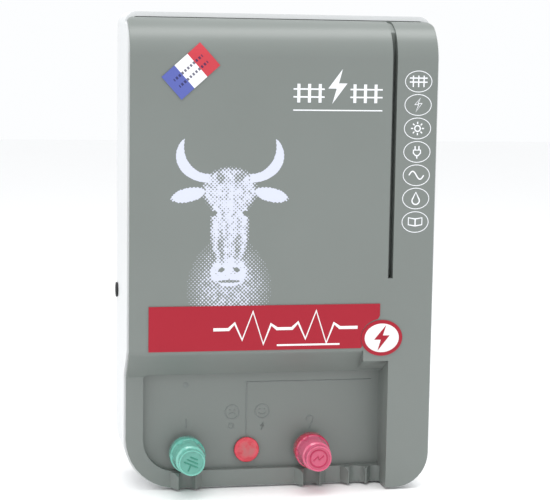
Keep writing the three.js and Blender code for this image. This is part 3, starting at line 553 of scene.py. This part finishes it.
def arc(x, z, radius, start, end, steps=16, squash=1):
    return [(x + radius * math.cos(math.radians(start + (end - start) * step / steps)),
             z + squash * radius * math.sin(math.radians(start + (end - start) * step / steps)))
            for step in range(steps + 1)]


# Plain pictures for the seven ovals, each as bold lines, in mm about the oval's middle.
def stripPictures():
    wires = [([(-6, level), (6, level)], False) for level in (2.2, -0.4)]
    posts = [([(x, -3.6), (x, 3.8)], False) for x in (-3.6, 0, 3.6)]
    bolt = [([(1.4, 4.4), (-2.2, 0.2), (0.4, 0.2), (-1.4, -4.4), (2.6, 1.0), (0, 1.0)], True)]
    sun = [(arc(0, 0, 1.9, 0, 360), True)]
    sun += [([(2.9 * math.cos(turn), 2.9 * math.sin(turn)), (4.4 * math.cos(turn), 4.4 * math.sin(turn))],
             False) for turn in (math.tau * step / 8 for step in range(8))]
    plug = [([(-2.4, 1.2), (2.4, 1.2), (2.4, -0.8), (0.9, -2.4), (-0.9, -2.4), (-2.4, -0.8)], True),
            ([(-1.3, 1.2), (-1.3, 3.8)], False), ([(1.3, 1.2), (1.3, 3.8)], False),
            ([(0, -2.4), (0, -4.4)], False)]
    swing = [([(-5 + 10 * step / 24, 2.6 * math.sin(math.tau * step / 24)) for step in range(25)], False)]
    drop = [(arc(0, -1.4, 2.5, -220, 40, 20) + [(0, 4.2)], True)]
    book = [([(0, -2.6), (-4.6, -1.8), (-4.6, 2.8), (0, 2.0), (4.6, 2.8), (4.6, -1.8)], True),
            ([(0, -2.6), (0, 2.0)], False)]
    return [wires + posts, bolt, sun, plug, swing, drop, book]


def stripInk():
    outlines, pictures = [], []
    for level, picture in zip(stripMarks["places"], stripPictures()):
        z = level * mm
        outlines.append((ovalOutline(stripMarks["x"], z, stripMarks["wide"], stripMarks["high"], 48), True))
        pictures += [(moved(points, stripMarks["x"], z, mm), closed) for points, closed in picture]
    depth = -coverFaceY + ink["lift"]
    return joinedMesh([strokes(outlines, "outlines", depth, ink["line"], ink["flat"]),
                       strokes(pictures, "pictures", depth, ink["picture"], 0.5 * ink["flat"])],
                      "strip_marks")


showPiece(stripInk(), "strip_marks", "case", inkWhite)

# A fence with a pulse on it, over a thin rule, where the face is widest.
fenceSign = {
    "left": 4.5,
    "right": 63.5,
    "foot": 100.5,
    "top": 112.5,
    "posts": [8, 15, 22, 45, 52, 59],
    "wires": [0.3, 0.72],           # shares of the height
    "bolt": 33.5,
    "boltLevel": 111,
    "boltClear": 8.5,
    "rule": 95.6,
}


def fenceInk():
    left, right, foot, top = (fenceSign[key] for key in ("left", "right", "foot", "top"))
    gapLeft, gapRight = fenceSign["bolt"] - fenceSign["boltClear"], fenceSign["bolt"] + fenceSign["boltClear"]
    wires = [([(start, foot + share * (top - foot)), (end, foot + share * (top - foot))], False)
             for share in fenceSign["wires"] for start, end in ((left, gapLeft), (gapRight, right))]
    posts = [([(x, foot), (x, top)], False) for x in fenceSign["posts"]]
    rule = [([(left, fenceSign["rule"]), (right, fenceSign["rule"])], False)]
    depth = -coverFaceY + ink["lift"]
    parts = [strokes([(moved(points, 0, 0, mm), closed) for points, closed in group], "lines", depth,
                     radius, ink["flat"])
             for group, radius in ((wires, ink["wire"]), (posts, ink["post"]), (rule, ink["rule"]))]
    bolt = moved([(3.2, 11.2), (-6.2, -1.4), (-0.6, -1.4), (-3.4, -11.2), (6.4, 2.0), (0.8, 2.0)],
                 fenceSign["bolt"] * mm, fenceSign["boltLevel"] * mm, mm)
    parts.append(meshFrom(plate(bolt, depth - ink["lift"], depth + 0.1 * mm, 0.03 * mm), "bolt"))
    return joinedMesh(parts, "fence_sign")


showPiece(fenceInk(), "fence_sign", "case", inkWhite)


# The red band, its pulse line and the round badge.
def labelFinish(name, colour):
    look = Finish(name, {"Specular IOR Level": 0.2})
    broad = look.noise(35 * mm, 3)
    fine = look.noise(0.3 * mm, 2)
    dark = tuple(channel * 0.9 for channel in colour[:3]) + (1,)
    look.colour(look.mix(broad * 0.7 + fine * 0.3, dark, colour))
    look.rough(0.34 + (fine - 0.5) * 0.12)
    look.relief(broad, 0.02 * mm, 0.5)
    return look


labelRed = labelFinish("labelRed", tint(163, 34, 50))
labelWhite = labelFinish("labelWhite", tint(236, 236, 236))
pulse = {
    "peaks": [(-46, 0), (-36, 0), (-32, 4), (-27, -7), (-20, 11.5), (-13, -10), (-8, 3), (-4, 0), (6, 0),
              (10, 4), (15, -7), (22, 11.5), (29, -10), (34, 3), (38, 0), (50, 0)],
    "level": -46.5,
    "weight": 1.05 * mm,
    "flat": 0.15,
    "under": [(-4, -57.4), (38, -57.4)],
}


def pulseInk():
    depth = -bandLow.y + ink["lift"]
    line = [(moved(pulse["peaks"], 0, pulse["level"] * mm, mm), False)]
    under = [(moved(pulse["under"], 0, 0, mm), False)]
    return joinedMesh([strokes(line, "line", depth, pulse["weight"], pulse["flat"]),
                       strokes(under, "under", depth, ink["under"], pulse["flat"])], "pulse_line")


showPiece(pulseInk(), "pulse_line", "case", labelWhite)

roundel = {"whiteShare": (0.83, 0.8), "lift": 0.12 * mm, "boltSize": 0.82 * mm}
roundLow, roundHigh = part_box("roundel_label")
roundMiddle = (roundLow + roundHigh) / 2
roundWide, roundTall = roundHigh.x - roundMiddle.x, roundHigh.z - roundMiddle.z


def roundelOval(share):
    return ovalOutline(roundMiddle.x, roundMiddle.z, roundWide * share[0], roundTall * share[1], 72)


def addRoundel():
    front = -roundLow.y
    disc = plate(roundelOval((1, 1)), -roundHigh.y, front, 0.05 * mm)
    showPiece(meshFrom(disc, "roundel_disc"), "roundel_disc", "case", labelRed,
              ["roundel_label"])
    white = plate(roundelOval(roundel["whiteShare"]), front, front + roundel["lift"], 0.03 * mm)
    showPiece(meshFrom(white, "roundel_field"), "roundel_field", "case", labelWhite)
    bolt = moved([(3.4, 10.4), (-6.4, -1.4), (-0.8, -1.4), (-3.4, -10.4), (6.4, 2.0), (0.8, 2.0)],
                 roundMiddle.x, roundMiddle.z, roundel["boltSize"])
    figure = plate(bolt, front + roundel["lift"], front + 2 * roundel["lift"], 0.03 * mm)
    showPiece(meshFrom(figure, "roundel_bolt"), "roundel_bolt", "case", labelRed)


addRoundel()
print("printing and labels laid on")

# Signs moulded on the bay floor, in mm.
bayMarks = {"thick": 0.42 * mm, "fine": 0.34 * mm}


def faceSign(x, z, smile):
    mouth = arc(x, z - 2.6, 2.4, 25, 155, 10, 0.8) if smile < 0 else arc(x, z + 0.4, 2.8, 205, 335, 10, 0.9)
    return [(ovalOutline(x, z, 4.7, 4.7, 36), True), (mouth, False),
            ([(x - 1.9, z + 1.6), (x - 1.2, z + 1.2)], False),
            ([(x + 1.2, z + 1.2), (x + 1.9, z + 1.6)], False)]


def bayInk():
    bolt = [(0.9, 2.6), (-1.1, 0.1), (0.3, 0.1), (-0.7, -2.6), (1.3, 0.6), (-0.1, 0.6)]
    lines = [([(-19.5, -85.7), (-19.5, -121.8)], False), ([(-19.2, -86.4), (66, -86.4)], False),
             ([(-60, -110.4), (-60, -116.5)], False),
             (arc(24.3, -112.6, 2.3, -60, 200, 14), False), ([(25.2, -114.8), (23.6, -119)], False)]
    fine = faceSign(-29.1, -106.5, -1) + faceSign(-8.7, -106.4, 1)
    fine += [(ovalOutline(-29.7, -116, 1.7, 1.7, 20), True), (moved(bolt, -8.6, -116.5), True)]
    parts = [strokes([(moved(points, 0, 0, mm), closed) for points, closed in group], "signs",
                     -bayFloorY, radius, 1.0) for group, radius in ((lines, bayMarks["thick"]),
                                                                   (fine, bayMarks["fine"]))]
    spot = turned([(0, 50.5), (1.5, 50.4), (2, 50.0), (0, 50.0)], -60.4, -87.4, 32)
    bmesh.ops.scale(spot, vec=(mm, mm, mm), verts=spot.verts)
    parts.append(meshFrom(spot, "spot"))
    return joinedMesh(parts, "bay_signs")


showPiece(bayInk(), "bay_signs", "case", markGrey)
print("bay signs moulded")

# Knobs, their washers, nuts and threaded studs.
knob = {
    "base": 8 * mm,             # length of the plain collar
    "cap": 6 * mm,              # length of the end cap
    "step": 0.9 * mm,
    "neck": 1.2 * mm,
    "capRadius": 8.5 * mm,
    "rim": 1 * mm,
    "sunk": 0.8 * mm,
    "boreRadius": 3.6 * mm,
    "pocketRadius": 5.3 * mm,
    "pocketDepth": 13.6 * mm,
    "roof": 4 * mm,
    "flutes": 6,
    "fluteRadius": 3.6 * mm,
    "fluteReach": 1.98 * mm,
    "rounding": 0.7 * mm,
    "steps": 144,
    "taperRows": 18,
}


# Rounds the corners of a profile that is to be turned.
def softened(profile, radius, steps=4):
    result = [profile[0]]
    for before, corner, after in zip(profile, profile[1:], profile[2:]):
        corner, before, after = Vector(corner), Vector(before), Vector(after)
        start = corner + (before - corner) * min(0.45, radius / max((before - corner).length, 1e-6))
        end = corner + (after - corner) * min(0.45, radius / max((after - corner).length, 1e-6))
        for step in range(steps + 1):
            share = step / steps
            point = start * (1 - share) ** 2 + corner * 2 * share * (1 - share) + end * share ** 2
            result.append(tuple(point))
    return result + [profile[-1]]


def knobMesh(node):
    low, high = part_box(node)
    back, front = -high.y, -low.y
    base = (high.x - low.x) / 2
    shoulder = front - knob["cap"]
    waist = back + knob["base"] + 1 * mm
    rows = knob["taperRows"]
    neck = knob["capRadius"] + knob["neck"]
    taper = [(base - knob["step"] + (neck - base + knob["step"]) * row / rows,
              waist + (shoulder - 1 * mm - waist) * row / rows) for row in range(rows + 1)]
    outer = softened([(knob["pocketRadius"], back), (base, back), (base, back + knob["base"]), taper[0]],
                     knob["rounding"])
    inner = softened([taper[-1], (knob["capRadius"], shoulder), (knob["capRadius"], front),
                      (knob["capRadius"] - knob["rim"], front),
                      (knob["capRadius"] - knob["rim"], front - knob["sunk"]), (0, front - knob["sunk"])],
                     0.35 * mm)
    hollow = [(0, front - knob["roof"]), (knob["boreRadius"], front - knob["roof"]),
              (knob["boreRadius"], back + knob["pocketDepth"]),
              (knob["pocketRadius"], back + knob["pocketDepth"])]
    middle = (low + high) / 2
    bm = turned(hollow + outer[:-1] + taper + inner[1:], middle.x, middle.z, knob["steps"])
    reach = base + knob["fluteReach"]
    for vert in bm.verts:
        offset = Vector((vert.co.x - middle.x, vert.co.z - middle.z))
        if not waist - 1.5 * mm < -vert.co.y < shoulder or offset.length < knob["capRadius"]:
            continue
        sector = math.tau / knob["flutes"]
        away = (math.atan2(offset.y, offset.x) + sector / 2) % sector - sector / 2
        inside = knob["fluteRadius"] ** 2 - (reach * math.sin(away)) ** 2
        if inside > 0:
            wall = reach * math.cos(away) - math.sqrt(inside)
            ease = min(1, (-vert.co.y - waist + 1.5 * mm) / (1.8 * mm), (shoulder + vert.co.y) / (2.5 * mm))
            cut = max(0, offset.length - wall) * max(0, ease)
            offset *= 1 - cut / offset.length
            vert.co.x, vert.co.z = middle.x + offset.x, middle.z + offset.y
    return meshFrom(bm, node + "_grip")


def knobFinish(name, collar, body, mottleAndShade, node):
    look = Finish(name, {"Specular IOR Level": 0.55, "Coat Weight": 0.8, "Coat Roughness": 0.06})
    low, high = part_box(node)
    out = -1 * look.along("Y")
    cloud = look.noise(5 * mm, 4)
    specks = look.noise(0.9 * mm, 2)
    # The collar at the back is painted darker than the body: painted shade on the rear of the knob, painted
    # light on its front.
    collarShadeToLitBody = look.ease(out, -high.y + knob["base"] - 0.4 * mm, -high.y + knob["base"] + 1.2 * mm)
    plain = look.mix(collarShadeToLitBody, collar, body)
    worn = look.mix(look.ease(cloud, 0.35, 0.75) * 0.5, plain, mottleAndShade)
    face = look.ease(look.add("ShaderNodeVectorMath", {"operation": "DISTANCE"}, {
        0: look.add("ShaderNodeCombineXYZ", None, {0: look.along("X"), 2: look.along("Z")}),
        1: ((low.x + high.x) / 2, 0, (low.z + high.z) / 2)}, "Value"), 7.7 * mm, 7.1 * mm)
    # The sunken cap face is darkened: painted shade in the recess, in the same colour as the random mottle.
    paintedRecessShade = face * (out > -low.y - knob["sunk"] - 0.3 * mm)
    look.colour(look.mix(paintedRecessShade * 0.65, worn, mottleAndShade))
    look.rough(0.22 + (cloud - 0.5) * 0.2 + paintedRecessShade * 0.16)
    look.relief(cloud * 0.7 + specks * 0.3, 0.12 * mm, 0.6)
    return look


# The last colour of each knob is both its random mottle and the painted shade of its sunken cap face.
knobGreen = knobFinish("knobGreen", tint(92, 172, 156), tint(106, 182, 166), tint(66, 142, 126), "earth_knob")
knobRed = knobFinish("knobRed", tint(180, 20, 54), tint(208, 84, 120), tint(186, 52, 92), "fence_knob")


def capSign(node, lines, name, body, look):
    low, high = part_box(node)
    middle = (low + high) / 2
    placed = [(moved(points, middle.x, middle.z, mm), closed) for points, closed in lines]
    mesh = strokes(placed, name, -low.y - knob["sunk"], 0.5 * mm, 0.8)
    showPiece(mesh, name, body, look)


def turnedBars(turn):
    bars = [([(-4.9, 1.4), (4.9, 1.4)], False), ([(-3.8, -0.9), (3.8, -0.9)], False),
            ([(-2.6, -3.2), (2.6, -3.2)], False), ([(0, 1.4), (0, 6.0)], False)]
    return [(moved(points, 0, 0, 1, turn), closed) for points, closed in bars]


for node, look, slot in (("earth_knob", knobGreen, "knob_green"), ("fence_knob", knobRed, "knob_red")):
    showPiece(knobMesh(node), node + "_grip", node, look, [node])
signGreen = mouldedPlastic("signGreen", tint(52, 128, 110), 0.35)
signRed = mouldedPlastic("signRed", tint(176, 34, 78), 0.35)
capSign("earth_knob", turnedBars(156), "earth_sign", "earth_knob", signGreen)
capSign("fence_knob", [(ovalOutline(0, 0, 5.7, 5.7, 40), True),
                       ([(-3.4, -1.4), (-0.4, 1.6), (0.2, -1.0), (3.4, 1.8)], False)],
        "fence_sign_cap", "fence_knob", signRed)
print("knobs turned")

zincSteel = brushedMetal("zincSteel", tint(190, 192, 196), 0.34, (1, 6, 1))
brassTurned = brushedMetal("brassTurned", tint(206, 170, 92), 0.3, (1, 8, 1))


def ringMesh(node, bore, rounding):
    low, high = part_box(node)
    middle = (low + high) / 2
    radius = (high.x - low.x) / 2
    corners = [(bore, -high.y), (radius, -high.y), (radius, -low.y), (bore, -low.y)]
    profile = softened(corners + corners[:2], rounding)[1:-1]
    return meshFrom(turned(profile, middle.x, middle.z, 72, closed=True), node + "_ring")


thread = {"pitch": 1 * mm, "depth": 0.32 * mm, "rows": 8, "chamfer": 0.6 * mm}


def studMesh(node):
    low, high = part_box(node)
    middle = (low + high) / 2
    radius = (high.x - low.x) / 2
    back, front = -high.y, -low.y
    rows = int((front - back - 2 * thread["chamfer"]) / thread["pitch"] * thread["rows"])
    shaft = [(radius, back + thread["chamfer"] + (front - back - 2 * thread["chamfer"]) * row / rows)
             for row in range(rows + 1)]
    ends = [(0, back), (radius - thread["chamfer"], back)], [(radius - thread["chamfer"], front), (0, front)]
    bm = turned(ends[0] + shaft + ends[1], middle.x, middle.z, 40)
    for vert in bm.verts:
        offset = Vector((vert.co.x - middle.x, vert.co.z - middle.z))
        if offset.length > radius - 0.1 * mm:
            phase = (-vert.co.y / thread["pitch"] + math.atan2(offset.y, offset.x) / math.tau) % 1
            offset *= 1 - thread["depth"] * abs(2 * phase - 1) / offset.length
            vert.co.x, vert.co.z = middle.x + offset.x, middle.z + offset.y
    return meshFrom(bm, node + "_thread")


for side in ("earth", "fence"):
    showPiece(ringMesh(side + "_clamp_washer", 3.3 * mm, 0.35 * mm), side + "_washer_ring",
              side + "_washer", zincSteel, [side + "_clamp_washer"])
    showPiece(ringMesh(side + "_seat_nut", 3.2 * mm, 0.3 * mm), side + "_seat_ring", "case", zincSteel,
              [side + "_seat_nut"])
    showPiece(studMesh(side + "_stud"), side + "_stud_thread", "case", zincSteel,
              [side + "_stud"])
print("washers and threads made")

lens = {"barrel": 6 * mm, "bore": 4.4 * mm, "proud": 3 * mm, "crown": 0.5 * mm, "window": 2.2 * mm,
        "rounding": 1.3 * mm}


def lensMesh():
    low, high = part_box("lamp_lens")
    middle = (low + high) / 2
    radius = (high.x - low.x) / 2
    back, front = -high.y, -low.y
    skirt = front - lens["proud"]
    crown = [(radius * 0.9 * (1 - row / 8), front - lens["crown"] * (1 - row / 8) ** 2) for row in range(9)]
    rim = softened([(lens["barrel"], skirt), (radius, skirt), (radius, front - lens["crown"]), crown[1]],
                   lens["rounding"], 6)
    hollow = [(0, front - lens["window"]), (lens["bore"], front - lens["window"]), (lens["bore"], back),
              (lens["barrel"], back)]
    return meshFrom(turned(hollow + rim[:-1] + crown[1:], middle.x, middle.z, 96), "lamp_lens_cap")


def lensFinish():
    look = Finish("lensRed", {"Specular IOR Level": 0.5, "Coat Weight": 0.6, "Coat Roughness": 0.12})
    low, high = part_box("lamp_lens")
    middle = (low + high) / 2
    cloud = look.noise(4 * mm, 4)
    centre = look.oval((middle.x + 0.3 * mm, middle.z + 0.2 * mm), (5.6 * mm, 5.4 * mm), 0, 0.35)
    mottled = centre * look.ease(cloud, 0.25, 0.6)
    rim = look.mix(look.ease(cloud, 0.3, 0.7), tint(196, 28, 52), tint(214, 52, 74))
    look.colour(look.mix(mottled * 0.85, rim, tint(176, 96, 98)))
    look.rough(0.24 + mottled * 0.25)
    look.relief(cloud, 0.1 * mm, 0.5)
    return look


lensRed = lensFinish()
showPiece(lensMesh(), "lamp_lens_cap", "case", lensRed, ["lamp_lens"])
print("lamp lens turned")

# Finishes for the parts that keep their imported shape.
sticker = {"turn": 42, "third": 5.5 * mm, "rowOut": 2.6 * mm, "rowHalf": 0.9 * mm, "dash": 2.4 * mm,
           "rowReach": 12 * mm}


def stickerFinish():
    look = Finish("stickerPaper", {"Specular IOR Level": 0.25})
    low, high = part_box("origin_sticker")
    middle = (low + high) / 2
    cosine, sine = math.cos(math.radians(sticker["turn"])), math.sin(math.radians(sticker["turn"]))
    acrossX, acrossZ = look.along("X") - middle.x, look.along("Z") - middle.z
    along = acrossX * cosine + acrossZ * sine
    over = acrossZ * cosine - acrossX * sine
    fine = look.noise(0.4 * mm, 2)
    third, edge = sticker["third"], 0.1 * mm
    colour = look.mix(look.ease(along, -third - edge, -third + edge), tint(88, 98, 168), tint(234, 234, 236))
    colour = look.mix(look.ease(along, third - edge, third + edge), colour, tint(190, 62, 72))
    row = abs(abs(over) - sticker["rowOut"]) < sticker["rowHalf"]
    dashes = (along * (math.tau / sticker["dash"])).wave() > -0.3
    mark = row * dashes * (abs(along) < sticker["rowReach"])
    look.colour(look.mix(mark * 0.85, colour, tint(44, 40, 78)))
    look.rough(0.42 + (fine - 0.5) * 0.15)
    look.relief(fine, 0.01 * mm)
    return look


board = {"track": 5 * mm}


def boardFinish():
    look = Finish("boardGreen", {"Specular IOR Level": 0.5, "Coat Weight": 0.3, "Coat Roughness": 0.15})
    paths = look.cells(board["track"], "DISTANCE_TO_EDGE")
    copperPath = look.ease(paths, 0.12, 0.1)
    fine = look.noise(0.5 * mm, 3)
    mask = look.mix(fine, tint(20, 84, 50), tint(26, 98, 60))
    look.colour(look.mix(copperPath * 0.7, mask, tint(62, 140, 84)))
    look.rough(0.3 + fine * 0.15)
    look.relief(copperPath, 0.03 * mm)
    return look


def stripedFinish(name, axis, pitch, dark, light, roughness, settings, depth):
    look = Finish(name, settings)
    stripe = (look.along(axis) * (math.tau / pitch)).wave() * 0.5 + 0.5
    cloud = look.noise(4 * mm, 3)
    look.colour(look.mix(stripe * 0.7 + cloud * 0.3, dark, light))
    look.rough(roughness + (cloud - 0.5) * 0.2)
    look.relief(stripe, depth)
    return look


steelStack = stripedFinish("steelStack", "Y", 0.7 * mm, tint(64, 66, 72), tint(122, 124, 130), 0.5,
                           {"Metallic": 0.8}, 0.06 * mm)
copperWound = stripedFinish("copperWound", "Z", 0.9 * mm, tint(112, 50, 26), tint(206, 116, 66), 0.3,
                            {"Metallic": 0.9, "Coat Weight": 0.3}, 0.2 * mm)
finAluminium = brushedMetal("finAluminium", tint(196, 198, 202), 0.4, (1, 1, 12))
tinnedCopper = brushedMetal("tinnedCopper", tint(198, 194, 186), 0.38, (1, 1, 4))
plasticDark = mouldedPlastic("plasticDark", tint(44, 45, 48), 0.5, 0.3 * mm, 0.02 * mm)
nylonPale = mouldedPlastic("nylonPale", tint(222, 216, 196), 0.45, 0.5 * mm, 0.02 * mm)
ceramicWhite = mouldedPlastic("ceramicWhite", tint(214, 208, 196), 0.7, 0.25 * mm, 0.04 * mm)
sleeveBlue = mouldedPlastic("sleeveBlue", tint(40, 62, 128), 0.3, 0.8 * mm, 0.02 * mm)
filmOchre = mouldedPlastic("filmOchre", tint(196, 140, 54), 0.35, 0.8 * mm, 0.03 * mm)
clearGlass = mouldedPlastic("clearGlass", tint(224, 232, 232), 0.06, 2 * mm, 0.004 * mm,
                            {"Transmission Weight": 0.6})
wireGreen = mouldedPlastic("wireGreen", tint(58, 138, 70), 0.4, 0.4 * mm, 0.02 * mm)
wireRed = mouldedPlastic("wireRed", tint(176, 34, 38), 0.4, 0.4 * mm, 0.02 * mm)
wirePale = mouldedPlastic("wirePale", tint(220, 214, 200), 0.4, 0.4 * mm, 0.02 * mm)

keptParts = [
    (rubberBlack, ["case_seal", "mains_gland"]),
    (plasticDark, ["gland_nut", "fuse_holder", "thyristor", "control_chip"]),
    (nylonPale, ["lamp_ring", "transformer_bobbin", "terminal_block"]),
    (zincSteel, ["case_screw", "board_screw", "transformer_screw", "capacitor_strap", "earth_inner_nut",
                 "fence_inner_nut"]),
    (tinnedCopper, ["earth_ring_terminal", "fence_ring_terminal"]),
    (brassTurned, ["earth_knob_insert", "fence_knob_insert"]),
    (labelRed, ["brand_band"]),
    (stickerFinish(), ["origin_sticker"]),
    (boardFinish(), ["circuit_board"]),
    (steelStack, ["transformer_core"]),
    (copperWound, ["transformer_coil"]),
    (finAluminium, ["heat_sink"]),
    (sleeveBlue, ["storage_capacitor"]),
    (filmOchre, ["charging_capacitor"]),
    (ceramicWhite, ["dropper_resistor"]),
    (clearGlass, ["fuse", "control_lamp"]),
    (wireGreen, ["earth_lead"]),
    (wireRed, ["fence_lead"]),
    (wirePale, ["primary_lead", "lamp_lead"]),
]


def finishKeptParts():
    for look, starts in keptParts:
        for name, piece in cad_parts.items():
            plain = name.rstrip("0123456789").rstrip("_")
            if plain in starts:
                piece.data.materials.clear()
                piece.data.materials.append(look.material)


finishKeptParts()
print("kept parts finished")

# Camera, light and floor.

shot = {
    "place": (-0.2033, -1.08787, 0.13393),
    "heading": math.radians(11),        # turned to the right of straight ahead
    "tilt": math.radians(7.1),          # downwards
    "roll": math.radians(0.88),
    "lens": 105.26,
    "sensor": 36,
}


def setCamera():
    data = bpy.data.cameras.new("camera")
    data.sensor_width = shot["sensor"]
    data.lens = shot["lens"]
    camera = bpy.data.objects.new("camera", data)
    bpy.context.scene.collection.objects.link(camera)
    turn = (Matrix.Rotation(-shot["heading"], 4, "Z") @ Matrix.Rotation(math.pi / 2 - shot["tilt"], 4, "X") @
            Matrix.Rotation(shot["roll"], 4, "Z"))
    camera.matrix_world = Matrix.Translation(shot["place"]) @ turn
    bpy.context.scene.camera = camera


def areaLight(name, place, aim, wide, high, power):
    data = bpy.data.lights.new(name, "AREA")
    data.shape = "RECTANGLE"
    data.size = wide
    data.size_y = high
    data.energy = power
    light = bpy.data.objects.new(name, data)
    bpy.context.scene.collection.objects.link(light)
    light.location = place
    light.rotation_mode = "QUATERNION"
    light.rotation_quaternion = (Vector(aim) - Vector(place)).to_track_quat("-Z", "Y")


stage = {
    "floorReach": 4,
    "floorDrop": 0.2 * mm,
    "floorColour": (0.96, 0.96, 0.96, 1),
    "worldColour": (0.98, 0.99, 1, 1),
}
# Each light is its name, place, aim, width, height and power.
lights = [
    ("keyLight", (-0.5, -1.3, 1.3), (0, 0, 0), 0.9, 0.9, 2),
    ("topLight", (0.1, -0.25, 1.1), (0, -0.05, 0.1), 1.4, 0.5, 9),
    ("sideLight", (-1.2, -0.5, 0.3), (0, 0, 0), 0.5, 1.2, 2.5),
    ("fillLight", (1.0, -1.0, 0.1), (0, 0, -0.05), 0.8, 0.8, 1),
]


def setStage():
    bm = bmesh.new()
    bmesh.ops.create_grid(bm, x_segments=1, y_segments=1, size=stage["floorReach"])
    bmesh.ops.translate(bm, verts=bm.verts, vec=(0, 0, cadBox[0].z - stage["floorDrop"]))
    mesh = meshFrom(bm, "floor")
    look = Finish("paleFloor", {"Base Color": stage["floorColour"], "Roughness": 0.9})
    floor = bpy.data.objects.new("floor", mesh)
    mesh.materials.append(look.material)
    bpy.context.scene.collection.objects.link(floor)
    world = bpy.data.worlds.new("studio")
    world.use_nodes = True
    world.node_tree.nodes["Background"].inputs["Color"].default_value = stage["worldColour"]
    world.node_tree.nodes["Background"].inputs["Strength"].default_value = 1.0
    bpy.context.scene.world = world
    bpy.context.scene.view_settings.view_transform = "Standard"
    for light in lights:
        areaLight(*light)


setCamera()
setStage()
print("stage set")
